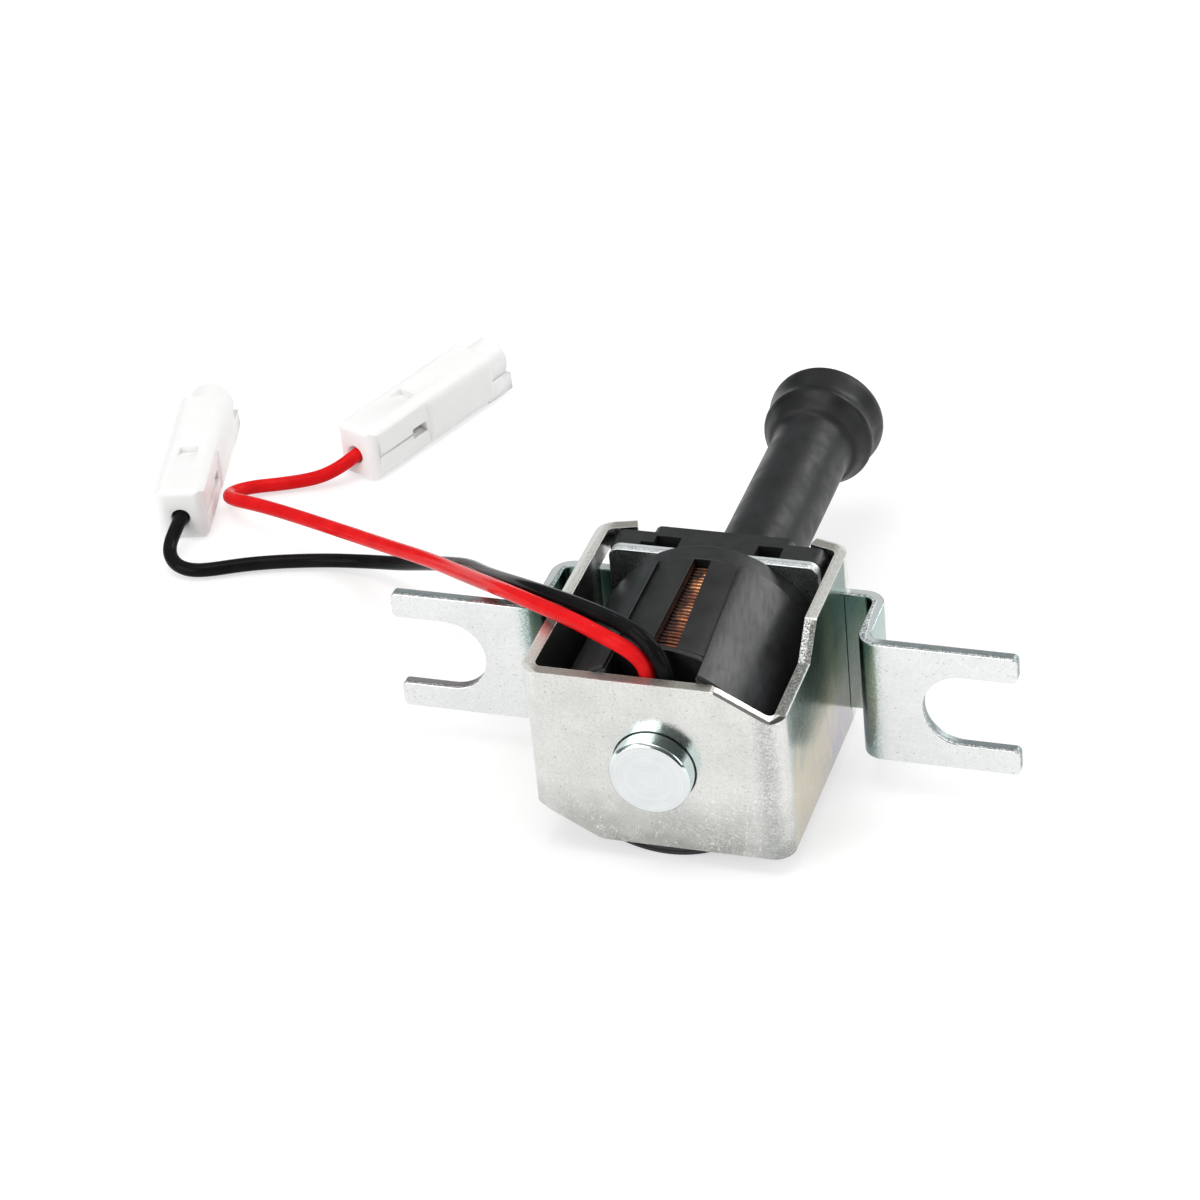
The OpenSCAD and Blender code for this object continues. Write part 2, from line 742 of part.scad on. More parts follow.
// Connector housing, hollow for its terminal, with a latch window, a side window and a side groove
module connector() {
  shell_end = plug_rear + plug_front;
  side_r = 1.2;
  end_r = 2.2;
  crimp_hole_r = 2.4;
  overlap = 0.5;
  box_w = terminal_w + 0.6;
  box_h = 3.4;
  box_len = plug_front - 3;
  blade_w = terminal_w + 0.2;
  blade_h = 1.6;
  latch_w = 3.2;
  latch_y = plug_rear - 2.4;
  latch_len = 2.8;
  side_y = plug_rear - 3.6;
  side_len = 3.4;
  side_h = 1.8;
  groove_y = 1.5;
  groove_len = plug_rear - 4;
  groove_h = 0.4;
  groove_depth = 0.5;
  difference() {
    union() {
      intersection() {
        column(0, plug_h)
          plug_plan();
        rotate([90, 0, 90])
          linear_extrude(height = plug_w, center = true)
            translate([shell_end / 2, plug_h / 2])
              rounded_rect(shell_end, plug_h, side_r);
        translate([0, 0, plug_h / 2])
          slab(0, shell_end)
            rounded_rect(plug_w, plug_h, end_r);
      }
      plug_nose_solid();
    }
    translate([0, -cut, plug_z])
      rotate([-90, 0, 0])
        cylinder(h = lead_in + 2 * cut, r = plug_hole_r);
    translate([0, lead_in, plug_z])
      rotate([-90, 0, 0])
        cylinder(h = plug_rear - lead_in + overlap, r = crimp_hole_r);
    translate([-box_w / 2, plug_rear, plug_z - box_h / 2])
      cube([box_w, box_len, box_h]);
    translate([-blade_w / 2, plug_rear, plug_z - blade_h / 2])
      cube([blade_w, plug_front + plug_nose + cut, blade_h]);
    translate([-latch_w / 2, latch_y, plug_z])
      cube([latch_w, latch_len, plug_h]);
    translate([0, side_y, plug_z - side_h / 2])
      cube([plug_w, side_len, side_h]);
    translate([plug_w / 2 - plug_step - groove_depth, groove_y, plug_z - groove_h / 2])
      cube([plug_w, groove_len, groove_h]);
  }
}

module red_connector() {
  color("whitesmoke")
    plug_seat(red_plug_at, red_plug_turn)
      connector();
}

module black_connector() {
  color("whitesmoke")
    plug_seat(black_plug_at, black_plug_turn)
      connector();
}

// Brass receptacle: crimp barrel, neck and a flat box with rolled edges
module terminal() {
  barrel_len = plug_rear - lead_in - 1;
  crimp_r = 1.9;
  neck_w = 3;
  neck_t = 1;
  box_y = plug_rear + 0.5;
  box_len = plug_front - 4;
  roll_r = 1.3;
  flat_w = terminal_w - 2;
  blade_w = terminal_w - 1.2;
  blade_t = 1;
  blade_y = plug_rear + 3;
  translate([0, lead_in, plug_z])
    rotate([-90, 0, 0])
      cylinder(h = barrel_len, r = crimp_r);
  translate([-neck_w / 2, lead_in + 1, plug_z - neck_t / 2])
    cube([neck_w, plug_rear - lead_in + 1, neck_t]);
  difference() {
    union() {
      translate([-flat_w / 2, box_y, plug_z - roll_r])
        cube([flat_w, box_len, 2 * roll_r]);
      for (sx = [-1, 1])
        translate([sx * (terminal_w / 2 - roll_r), box_y, plug_z])
          rotate([-90, 0, 0])
            cylinder(h = box_len, r = roll_r);
    }
    translate([-blade_w / 2, blade_y, plug_z - blade_t / 2])
      cube([blade_w, box_len, blade_t]);
  }
}

module red_terminal() {
  color("goldenrod")
    plug_seat(red_plug_at, red_plug_turn)
      terminal();
}

module black_terminal() {
  color("goldenrod")
    plug_seat(black_plug_at, black_plug_turn)
      terminal();
}

frame();
fixed_core();
core_bumper();
guide_tube();
bobbin();
winding();
inner_wrap();
outer_wrap();
flux_plate();
mounting_bracket();
end_plate();
plunger();
stop_washer();
plunger_boot();
return_spring();
red_splice();
black_splice();
red_lead();
black_lead();
red_connector();
black_connector();
red_terminal();
black_terminal();
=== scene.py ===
import math
import random

import bmesh
import bpy
from mathutils import Matrix, Vector


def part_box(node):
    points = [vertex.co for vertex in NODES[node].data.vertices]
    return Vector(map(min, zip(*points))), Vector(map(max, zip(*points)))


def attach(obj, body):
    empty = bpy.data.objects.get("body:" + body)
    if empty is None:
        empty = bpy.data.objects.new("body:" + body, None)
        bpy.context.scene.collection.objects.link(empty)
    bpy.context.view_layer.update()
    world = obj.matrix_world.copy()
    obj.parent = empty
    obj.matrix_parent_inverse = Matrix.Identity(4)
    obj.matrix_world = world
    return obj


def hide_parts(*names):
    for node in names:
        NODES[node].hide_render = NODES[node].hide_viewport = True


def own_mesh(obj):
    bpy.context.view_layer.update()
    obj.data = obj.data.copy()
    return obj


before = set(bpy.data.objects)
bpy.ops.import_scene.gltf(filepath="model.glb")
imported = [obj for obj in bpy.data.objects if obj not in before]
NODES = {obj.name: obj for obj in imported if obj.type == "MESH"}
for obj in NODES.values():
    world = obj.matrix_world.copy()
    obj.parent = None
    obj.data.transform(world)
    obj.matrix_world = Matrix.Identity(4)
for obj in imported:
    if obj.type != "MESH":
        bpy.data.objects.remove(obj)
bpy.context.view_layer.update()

scene = bpy.context.scene
scene.view_settings.view_transform = "Standard"

# Bodies and CAD nodes of the shared frame
HOUSING = "housing"
PLUNGER = "plunger"

# Lengths are in mm, places are in the shared frame, and stations run back from the frame's front
MM = 0.001
TINY = 1e-9


def box_mm(node):
    """Lowest and highest corner of a CAD node, in mm."""
    lo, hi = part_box(node)
    return lo / MM, hi / MM


FRAME_LO, FRAME_HI = box_mm("frame")
STRAP_LO, STRAP_HI = box_mm("mounting_bracket")
PLATE_LO, PLATE_HI = box_mm("flux_plate")
COIL_LO, COIL_HI = box_mm("winding")
BOOT_HI = box_mm("plunger_boot")[1]
PLUG_HI = box_mm("red_connector")[1]

# The plunger's axis: the y of its station 0, and its height
AXIS_Y = FRAME_LO.y
AXIS_Z = (FRAME_LO.z + FRAME_HI.z) / 2

# Folded sheets: thickness, inner radii of the bends, and where the flat stretches lie
SHEET = PLATE_HI.y - PLATE_LO.y
FRAME_R = 1.2
FRAME_R_OUT = FRAME_R + SHEET
FRAME_HALF = FRAME_HI.x
CORNER_X = FRAME_HALF - FRAME_R_OUT
TAB_FOLD = 90 - math.degrees(math.atan2(7, 24))
TAB_BEND = 36.15
STRAP_R = 1.4
LEG_GAP = 4.4
LEG_X = FRAME_HALF + LEG_GAP
EAR_FRONT = STRAP_LO.y - AXIS_Y
WEB_FRONT = STRAP_HI.y - SHEET - AXIS_Y
PLATE_FRONT = PLATE_LO.y - AXIS_Y


# Shader helpers
class Graph:
    """Short helpers for the nodes of the world or of a material."""

    def __init__(self, tree):
        self.tree = tree

    def node(self, kind, **props):
        n = self.tree.nodes.new(kind)
        for key, value in props.items():
            setattr(n, key, value)
        return n

    def link(self, a, b):
        self.tree.links.new(a, b)

    def put(self, socket, value):
        """Links an input, or sets it to a constant."""
        if isinstance(value, bpy.types.NodeSocket):
            self.link(value, socket)
        else:
            socket.default_value = value

    def math(self, op, a, b=0.0):
        n = self.node("ShaderNodeMath", operation=op)
        self.put(n.inputs[0], a)
        self.put(n.inputs[1], b)
        return n.outputs[0]

    def plus(self, a, b):
        return self.math("ADD", a, b)

    def minus(self, a, b):
        return self.math("SUBTRACT", a, b)

    def times(self, a, b):
        return self.math("MULTIPLY", a, b)

    def larger(self, a, b):
        return self.math("MAXIMUM", a, b)

    def unsigned(self, a):
        return self.math("ABSOLUTE", a)

    def length(self, a, b):
        """Length of the vector (a, b)."""
        return self.math("SQRT", self.plus(self.times(a, a), self.times(b, b)))

    def blend(self, *parts):
        """Weighted sum of (value, weight) pairs."""
        total = self.times(*parts[0])
        for value, weight in parts[1:]:
            total = self.plus(total, self.times(value, weight))
        return total

    def span(self, value, lo, hi, to_lo=0.0, to_hi=1.0):
        """Maps lo to to_lo and hi to to_hi, and clamps what lies beyond."""
        n = self.node("ShaderNodeMapRange", clamp=True)
        self.put(n.inputs["Value"], value)
        n.inputs["From Min"].default_value = lo
        n.inputs["From Max"].default_value = hi
        n.inputs["To Min"].default_value = to_lo
        n.inputs["To Max"].default_value = to_hi
        return n.outputs["Result"]

    def mix(self, fac, a, b):
        """Colour a where fac is 0, colour b where it is 1."""
        n = self.node("ShaderNodeMix", data_type="RGBA")
        self.put(n.inputs[0], fac)
        for socket, value in ((n.inputs[6], a), (n.inputs[7], b)):
            self.put(socket, value if isinstance(value, bpy.types.NodeSocket) else (*value, 1.0))
        return n.outputs[2]

    def ramp(self, value, stops):
        """Colour ramp of (position, colour) pairs."""
        n = self.node("ShaderNodeValToRGB")
        self.put(n.inputs[0], value)
        elements = n.color_ramp.elements
        for element, (position, color) in zip(elements, (stops[0], stops[-1])):
            element.position = position
            element.color = (*color, 1.0)
        for position, color in stops[1:-1]:
            elements.new(position).color = (*color, 1.0)
        return n.outputs[0]


class Paint(Graph):
    """A material with object coordinates in mm."""

    SOCKETS = {
        "color": "Base Color", "metal": "Metallic", "rough": "Roughness", "normal": "Normal",
        "spec": "Specular IOR Level", "coat": "Coat Weight", "coat_rough": "Coat Roughness",
        "sss": "Subsurface Weight", "sss_scale": "Subsurface Scale", "sss_radius": "Subsurface Radius"}

    def __init__(self, name):
        self.mat = bpy.data.materials.new(name)
        self.mat.use_nodes = True
        super().__init__(self.mat.node_tree)
        self.bsdf = self.tree.nodes["Principled BSDF"]
        coord = self.node("ShaderNodeTexCoord")
        scale = self.node("ShaderNodeVectorMath", operation="SCALE")
        self.link(coord.outputs["Object"], scale.inputs[0])
        scale.inputs["Scale"].default_value = 1.0 / MM
        self.mm = scale.outputs[0]
        split = self.node("ShaderNodeSeparateXYZ")
        self.link(self.mm, split.inputs[0])
        self.x, self.y, self.z = split.outputs

    def stretch(self, sx, sy, sz, turn=(0, 0, 0)):
        """Coordinates that are turned and then scaled, so that long marks can lie aslant."""
        n = self.node("ShaderNodeMapping", vector_type="TEXTURE")
        self.link(self.mm, n.inputs["Vector"])
        n.inputs["Scale"].default_value = (1.0 / sx, 1.0 / sy, 1.0 / sz)
        n.inputs["Rotation"].default_value = turn
        return n.outputs[0]

    def noise(self, scale, detail=2.0, rough=0.5, vec=None, warp=0.0):
        """Noise with about so many marks to the mm."""
        n = self.node("ShaderNodeTexNoise")
        self.link(vec if vec is not None else self.mm, n.inputs["Vector"])
        n.inputs["Scale"].default_value = scale
        n.inputs["Detail"].default_value = detail
        n.inputs["Roughness"].default_value = rough
        n.inputs["Distortion"].default_value = warp
        return n.outputs["Fac"]

    def voronoi(self, scale):
        n = self.node("ShaderNodeTexVoronoi", feature="F1")
        self.link(self.mm, n.inputs["Vector"])
        n.inputs["Scale"].default_value = scale
        return n.outputs["Distance"]

    def attribute(self, name):
        n = self.node("ShaderNodeAttribute", attribute_type="GEOMETRY", attribute_name=name)
        return n.outputs["Fac"]

    def bump(self, height, distance, strength=1.0, under=None):
        """Bump of a height from 0 to 1, its depth given in mm."""
        n = self.node("ShaderNodeBump")
        self.link(height, n.inputs["Height"])
        n.inputs["Distance"].default_value = distance * MM
        n.inputs["Strength"].default_value = strength
        if under is not None:
            self.link(under, n.inputs["Normal"])
        return n.outputs[0]

    def set(self, **values):
        """Sets the shader's inputs and returns the material."""
        for key, value in values.items():
            self.put(self.bsdf.inputs[self.SOCKETS[key]], value)
        return self.mat


def hair_lines(p, vec, level, width):
    """Thin lines where a stretched noise passes one level."""
    off = p.unsigned(p.minus(p.noise(1.0, detail=0.0, vec=vec), level))
    return p.span(off, 0.0, width, 1.0, 0.0)


# Marks of plated sheet
SCRATCH = (0.94, 0.94, 0.92)
PIT = (0.25, 0.26, 0.26)


def zinc_sheet(name, pale, deep, gloss, tint_and_shade=None):
    """Zinc-plated sheet: finely speckled, faintly cloudy, with a few scratches and pits."""
    p = Paint(name)
    cloud = p.noise(0.16, detail=3.0, rough=0.55, warp=0.6)
    grain = p.noise(2.3, detail=3.0, rough=0.60)
    fine = p.noise(5.5, rough=0.6)
    streak = p.noise(1.0, detail=3.0, rough=0.6, vec=p.stretch(3.2, 3.2, 0.3))
    tone = p.blend((cloud, 0.26), (grain, 0.32), (fine, 0.32), (streak, 0.10))
    color = p.mix(p.span(tone, 0.41, 0.59), deep, pale)
    if tint_and_shade is not None:
        color = tint_and_shade(p, color, grain, fine)
    along = hair_lines(p, p.stretch(0.10, 3.1, 4.2, turn=(0.3, 0.5, 0.7)), level=0.68, width=0.006)
    across = hair_lines(p, p.stretch(3.4, 0.14, 3.9, turn=(0.2, -0.6, 0.35)), level=0.67, width=0.006)
    here = p.span(p.noise(0.14, detail=1.0), 0.44, 0.56)
    lines = p.times(p.larger(along, across), here)
    pits = p.span(p.noise(2.6, detail=1.0), 0.70, 0.75)
    color = p.mix(p.times(lines, 0.6), color, SCRATCH)
    color = p.mix(p.times(pits, 0.5), color, PIT)
    rough = p.span(p.blend((grain, 0.5), (fine, 0.5)), 0.36, 0.64, *gloss)
    wave = p.bump(cloud, 0.05)
    peel = p.bump(p.blend((grain, 0.8), (streak, 0.2)), 0.018, under=wave)
    nicked = p.bump(p.blend((lines, 1.0), (pits, 0.8)), 0.012, strength=-1.0, under=peel)
    return p.set(color=color, metal=1.0, rough=rough, normal=nicked)


# The frame's foot, darkened by painted shade, and its scratches. A zone runs from where a tone starts to
# where it is full.
FOOT_SHADE_TONE = (0.30, 0.30, 0.285)
FOOT_SHADE_Z = (13.0, 3.0)
NICK_TONE = (0.93, 0.93, 0.91)
WORN_Z = (17.0, 6.0)
RIPPLE_X = (2.0, 7.0)
RIPPLE_Z = (17.0, 13.0)
# Painted shade in the gap round the core's boss, and in the speckled bend on the right
GAP_SHADE_TONE = (0.03, 0.04, 0.04)
GAP_SHADE_R = (6.24, 6.14)
BEND_SHADE_TONE = (0.30, 0.32, 0.315)
BEND_SHADE_X_FROM = (14.4, 16.2)
BEND_SHADE_X_TO = (18.3, 17.2)
# Passivation hues of the side walls, from their upper front to their lower back, darkened as painted
# shade
WALL_RAMP = (
    (0.34, (0.52, 0.58, 0.58)),
    (0.48, (0.40, 0.46, 0.42)),
    (0.57, (0.64, 0.575, 0.41)),
    (0.74, (0.57, 0.515, 0.41)),
    (0.82, (0.50, 0.465, 0.45)),
    (0.90, (0.43, 0.405, 0.47)),
    (1.0, (0.48, 0.475, 0.46)))
WALL_Y = (-44.0, -8.0)
WALL_Z = (30.9, 2.9)
# Dark green painted shade on the walls' upper front, with an olive streak in it
SHADE_TONE = (0.060, 0.155, 0.135)
SHADE_Y = (-42.0, -32.0)
SHADE_Z = (12.0, 21.0)
OLIVE_TONE = (0.20, 0.205, 0.085)
OLIVE_Y = -21.0
OLIVE_REACH = (4.0, 0.8)
REAR_TONE = (0.78, 0.77, 0.73)
REAR_Y = (-11.6, -10.8)
WALL_SPECK = (0.20, 0.21, 0.20)
SIDE_X = (17.6, 18.9)
SIDE_Y = (-43.6, -41.0)


def foot_shade_and_wear(p, base):
    """A foot darkened by painted shade, with short scratches and, on the right, fine ripples."""
    uneven = p.span(p.noise(0.2), 0.25, 0.6, 0.45, 1.0)
    # Painted shade: the foot darkens towards the bottom, for the floor's shadow that it reflects
    base = p.mix(p.times(p.span(p.z, *FOOT_SHADE_Z), uneven), base, FOOT_SHADE_TONE)
    worn = p.times(p.span(p.z, *WORN_Z), p.span(p.noise(0.35, detail=1.0), 0.40, 0.56))
    slant = hair_lines(p, p.stretch(0.45, 2.4, 3.0, turn=(0.0, 0.6, 0.0)), level=0.60, width=0.020)
    cross = hair_lines(p, p.stretch(3.0, 2.4, 0.55, turn=(0.0, 0.35, 0.0)), level=0.61, width=0.020)
    ripple = hair_lines(p, p.stretch(0.5, 2.0, 3.4, turn=(0.0, 0.1, 0.0)), level=0.5, width=0.04)
    rippled = p.times(p.span(p.x, *RIPPLE_X), p.span(p.z, *RIPPLE_Z))
    nicks = p.larger(p.times(p.times(ripple, 0.6), rippled), p.times(p.larger(slant, cross), worn))
    return p.mix(p.times(nicks, 0.85), base, NICK_TONE)


def wall_tone(p, speck):
    """Slate, straw, rose and lavender on the side walls, darkened by painted shade, with dark green
    painted shade above and pale at the back.
    """
    drift = p.noise(0.16, detail=3.0, rough=0.6, vec=p.stretch(1.0, 1.0, 0.5), warp=1.0)
    place = p.blend((p.span(p.y, *WALL_Y), 0.44), (p.span(p.z, *WALL_Z), 0.30), (drift, 0.62))
    hues = p.ramp(place, WALL_RAMP)
    # Painted shade: the upper front turns dark green, for the dark reflections there
    shade = p.times(p.span(p.z, *SHADE_Z), p.span(p.y, *SHADE_Y))
    olive = p.span(p.unsigned(p.minus(p.y, OLIVE_Y)), *OLIVE_REACH, 0.0, 0.7)
    hues = p.mix(p.times(shade, 0.9), hues, p.mix(olive, SHADE_TONE, OLIVE_TONE))
    hues = p.mix(p.span(p.y, *REAR_Y), hues, REAR_TONE)
    return p.mix(p.times(p.span(speck, 0.5, 0.0), 0.25), hues, WALL_SPECK)


def wall_hues_and_shade(p, base, grain, fine):
    """Colour of the frame: its worn front with painted shade at the foot, painted shade round the boss
    and in the bend, and the side walls.
    """
    base = foot_shade_and_wear(p, base)
    around = p.length(p.x, p.minus(p.z, AXIS_Z))
    # Painted shade: a dark ring in the gap round the core's boss
    base = p.mix(p.span(around, *GAP_SHADE_R), base, GAP_SHADE_TONE)
    speck = p.span(p.blend((grain, 0.5), (fine, 0.5)), 0.43, 0.56)
    # Painted shade: a speckled darker band in the right bend, for the darker floor it reflects
    bend = p.times(p.span(p.x, *BEND_SHADE_X_FROM), p.span(p.x, *BEND_SHADE_X_TO))
    base = p.mix(p.times(bend, p.minus(0.70, p.times(speck, 0.5))), base, BEND_SHADE_TONE)
    side = p.times(p.span(p.unsigned(p.x), *SIDE_X), p.span(p.y, *SIDE_Y))
    return p.mix(side, base, wall_tone(p, speck))


# The bracket's greener web and legs, which end at the ears' speckled bends: passivation colour and
# painted shade
GREEN_AND_SHADE_LOW = (0.56, 0.64, 0.625)
GREEN_AND_SHADE_HIGH = (0.34, 0.47, 0.445)
GREEN_SHADE_Z = (8.0, 26.0)
INSIDE_SHADE_LOW = (0.44, 0.48, 0.42)
INSIDE_SHADE_HIGH = (0.15, 0.24, 0.215)
INSIDE_SHADE_Z = (7.0, 24.0)
INSIDE_SHADE_X = (24.3, 23.5)
FOLD_SHADE_TONE = (0.14, 0.21, 0.21)
FOLD_SHADE_Y = (-19.6, -20.8)
EAR_BEND_X = (25.9, 27.3)


def strap_hues_and_shade(p, base, grain, fine):
    """Colour of the bracket: pale ears, speckled bends darkened by painted shade, and greener legs and
    web with painted shade.
    """
    beyond = p.minus(p.unsigned(p.x), p.span(fine, 0.36, 0.64, *EAR_BEND_X))
    # Painted shade: the legs and web darken upwards, more on the legs' inside and at their front folds
    green = p.mix(p.span(p.z, *GREEN_SHADE_Z), GREEN_AND_SHADE_LOW, GREEN_AND_SHADE_HIGH)
    inside = p.mix(p.span(p.z, *INSIDE_SHADE_Z), INSIDE_SHADE_LOW, INSIDE_SHADE_HIGH)
    green = p.mix(p.span(p.unsigned(p.x), *INSIDE_SHADE_X), green, inside)
    fold = p.times(p.span(p.y, *FOLD_SHADE_Y), p.span(beyond, 0.0, -1.4))
    green = p.mix(p.times(fold, 0.72), green, FOLD_SHADE_TONE)
    return p.mix(p.span(beyond, 0.9, -0.9), base, green)


# Cut edges, whose depth attribute is 0 on one face of the sheet and 1 on the other
BAND_TONE = (0.92, 0.95, 0.96)
BAND_X = (27.5, 26.0)
BAND_SHADE = 0.80


def sheared_edge(name, smooth, flakes, broken_to, ragged_by):
    """Cut edge of a sheet: a burnished band and, towards depth 0, a broken sparkling one."""
    p = Paint(name)
    ragged = p.minus(p.noise(1.5, detail=3.0, rough=0.62), 0.5)
    line = p.plus(p.attribute("depth"), p.times(ragged, ragged_by))
    broken = p.span(line, broken_to + 0.05, broken_to - 0.05)
    coarse = p.noise(3.0, detail=4.0, rough=0.72)
    soft = p.noise(2.4, rough=0.6)
    dark = tuple(BAND_SHADE * c for c in smooth)
    bright = p.mix(p.span(coarse, 0.42, 0.60), *flakes)
    band = p.mix(p.span(soft, 0.35, 0.65), dark, smooth)
    band = p.mix(p.span(p.unsigned(p.x), *BAND_X, 0.0, 0.75), band, BAND_TONE)
    rough_face = p.bump(p.times(broken, coarse), 0.16, under=p.bump(soft, 0.015))
    return p.set(color=p.mix(broken, band, bright), metal=1.0, rough=0.48, normal=rough_face)


# The frame's plain edges in front and on its sides, their rims with painted highlights, and its two cut
# corners
FRONT_EDGE = ((0.38, 0.365, 0.33), (0.48, 0.46, 0.42))
SIDE_EDGE = ((0.70, 0.68, 0.63), (0.90, 0.90, 0.87))
SIDE_EDGE_X = (16.5, 17.8)
RIM_HIGHLIGHT_TONE = (0.97, 0.98, 0.96)
RIM_HIGHLIGHT_OUT = (0.15, 0.07)
RIM_HIGHLIGHT_IN = (0.93, 0.99)
CHAMFER = ((0.11, 0.107, 0.10), (0.93, 0.93, 0.91))
SPECKS = ((0.13, 0.13, 0.12), (0.55, 0.55, 0.53))
TORN = ((0.20, 0.20, 0.19), (0.99, 1.0, 0.98))
CUT_HEIGHT = (13.80, 13.70)
CUT_CORNER = (10.0, 20.0)
SLOPE_Y = -28.3
SLOPE_REACH = (2.5, 2.3)
FRONT_CUT_Y = (-43.0, -43.6)
LEVEL_CUT_Y = (-30.6, -30.8)


def plain_edge(p, depth, soft):
    """Beige cut edge with white rims as painted highlights, paler on the side walls."""
    beside = p.span(p.unsigned(p.x), *SIDE_EDGE_X)
    dull = p.mix(beside, FRONT_EDGE[0], SIDE_EDGE[0])
    clear = p.mix(beside, FRONT_EDGE[1], SIDE_EDGE[1])
    edge = p.mix(p.span(soft, 0.35, 0.65), dull, clear)
    # Painted highlight: white lines along both rims of the edge
    rim = p.larger(p.span(depth, *RIM_HIGHLIGHT_OUT), p.span(depth, *RIM_HIGHLIGHT_IN))
    return p.mix(p.times(rim, 0.8), edge, RIM_HIGHLIGHT_TONE)


def frame_edges(name):
    """The frame's cut edges: the plain ones, and two corners that are part burnished, part torn."""
    p = Paint(name)
    ragged = p.times(p.minus(p.noise(1.5, detail=3.0, rough=0.62), 0.5), 0.22)
    depth = p.plus(p.attribute("depth"), ragged)
    soft = p.noise(2.4, rough=0.6)
    torn = p.noise(4.2, detail=3.0, rough=0.70)
    height = p.minus(p.z, AXIS_Z)
    lowered = p.span(p.unsigned(height), *CUT_HEIGHT)
    cut = p.times(lowered, p.span(p.times(p.x, height), *CUT_CORNER))
    sloped = p.times(cut, p.span(p.unsigned(p.minus(p.y, SLOPE_Y)), *SLOPE_REACH))
    front = p.times(cut, p.span(p.y, *FRONT_CUT_Y))
    behind = p.times(p.span(p.y, *reversed(FRONT_CUT_Y)), p.span(p.y, *LEVEL_CUT_Y))
    level = p.times(cut, behind)
    chamfer = p.mix(p.span(depth, 0.36, 0.44), *CHAMFER)
    specks = p.mix(p.span(torn, 0.42, 0.62), *SPECKS)
    # Painted highlight: a white line along the level cut's outer rim
    wall = p.mix(p.span(depth, 0.16, 0.08), specks, RIM_HIGHLIGHT_TONE)
    flakes = p.mix(p.span(torn, 0.42, 0.54), *TORN)
    slope = p.mix(p.span(depth, 0.40, 0.52), specks, flakes)
    color = p.mix(sloped, plain_edge(p, depth, soft), slope)
    color = p.mix(front, p.mix(level, color, wall), chamfer)
    rough_part = p.larger(sloped, p.times(level, 0.5))
    bumpy = p.bump(p.times(rough_part, torn), 0.16, under=p.bump(soft, 0.015))
    return p.set(color=color, metal=1.0, rough=0.50, normal=bumpy)


# Turned steel, with a greenish shoulder outside the boss's flat end
TURNED_TONES = ((0.69, 0.72, 0.725), (0.78, 0.80, 0.80))
SHOULDER_TONE = (0.69, 0.82, 0.81)
SHOULDER_R = (5.75, 5.9)


def turned_steel(name):
    """Turned steel: fine rings about the plunger's axis."""
    p = Paint(name)
    radius = p.length(p.x, p.minus(p.z, AXIS_Z))
    lathe = p.node("ShaderNodeCombineXYZ")
    p.put(lathe.inputs[0], p.times(radius, 4.5))
    p.put(lathe.inputs[1], p.times(p.y, 2.2))
    ring = p.noise(1.0, detail=3.0, rough=0.62, vec=lathe.outputs[0])
    cloud = p.noise(0.4)
    tone = p.span(p.blend((ring, 0.6), (cloud, 0.4)), 0.36, 0.64)
    color = p.mix(p.span(radius, *SHOULDER_R), p.mix(tone, *TURNED_TONES), SHOULDER_TONE)
    gloss = p.span(cloud, 0.35, 0.65, 0.12, 0.18)
    return p.set(color=color, metal=1.0, rough=gloss, normal=p.bump(ring, 0.0035))


def plain_metal(name, dark, pale, rough):
    """Bare wire or strip metal."""
    p = Paint(name)
    cloud = p.noise(3.0, detail=3.0, rough=0.55)
    gloss = p.span(cloud, 0.3, 0.7, rough * 0.8, rough * 1.3)
    return p.set(color=p.mix(p.span(cloud, 0.35, 0.65), dark, pale), metal=1.0, rough=gloss,
                 normal=p.bump(cloud, 0.008))


# Enamelled copper, darker towards the front of the slot, with painted shade on the slot's left and in
# the grooves
COPPER_TONES = ((0.10, 0.027, 0.011), (0.90, 0.38, 0.165))
COPPER_GROOVE_SHADE = (0.09, 0.025, 0.012)
SLOT_SIDE_SHADE = (0.03, 0.010, 0.006)
COPPER_Y = (-36.0, -22.0)
SLOT_SIDE_SHADE_X = (0.8, -0.2)


def copper_wire(name):
    """Enamelled copper turns; each has its own shade, and painted shade darkens the grooves and the
    slot's left side.
    """
    p = Paint(name)
    along = p.noise(1.1, vec=p.stretch(1.0, 0.35, 1.0))
    shade = p.span(p.blend((p.attribute("turn"), 0.8), (along, 0.5)), 0.35, 1.0)
    shade = p.times(shade, p.span(p.y, *COPPER_Y, 0.06, 0.92))
    crest = p.span(p.attribute("crest"), 0.55, 0.95)
    # Painted shade in the grooves between the turns
    copper = p.mix(crest, COPPER_GROOVE_SHADE, p.mix(shade, *COPPER_TONES))
    # Painted shade: the slot's left side, where the wrap's edge shadows the winding
    edge = p.plus(p.x, p.times(p.minus(along, 0.5), 2.6))
    color = p.mix(p.span(edge, *SLOT_SIDE_SHADE_X), copper, SLOT_SIDE_SHADE)
    return p.set(color=color, metal=1.0, rough=0.26, coat=0.3, coat_rough=0.12,
                 normal=p.bump(p.noise(6.0), 0.006))


PAPER_TONES = ((0.016, 0.007, 0.005), (0.075, 0.022, 0.012))


def varnished_paper(name):
    """Cut layers of varnished paper beside the winding."""
    p = Paint(name)
    layers = p.noise(1.0, rough=0.6, vec=p.stretch(1.0, 0.15, 7.0))
    return p.set(color=p.mix(p.span(layers, 0.36, 0.62), *PAPER_TONES), rough=0.36,
                 normal=p.bump(layers, 0.05))


SHEET_DUST = (0.5, 0.5, 0.48)


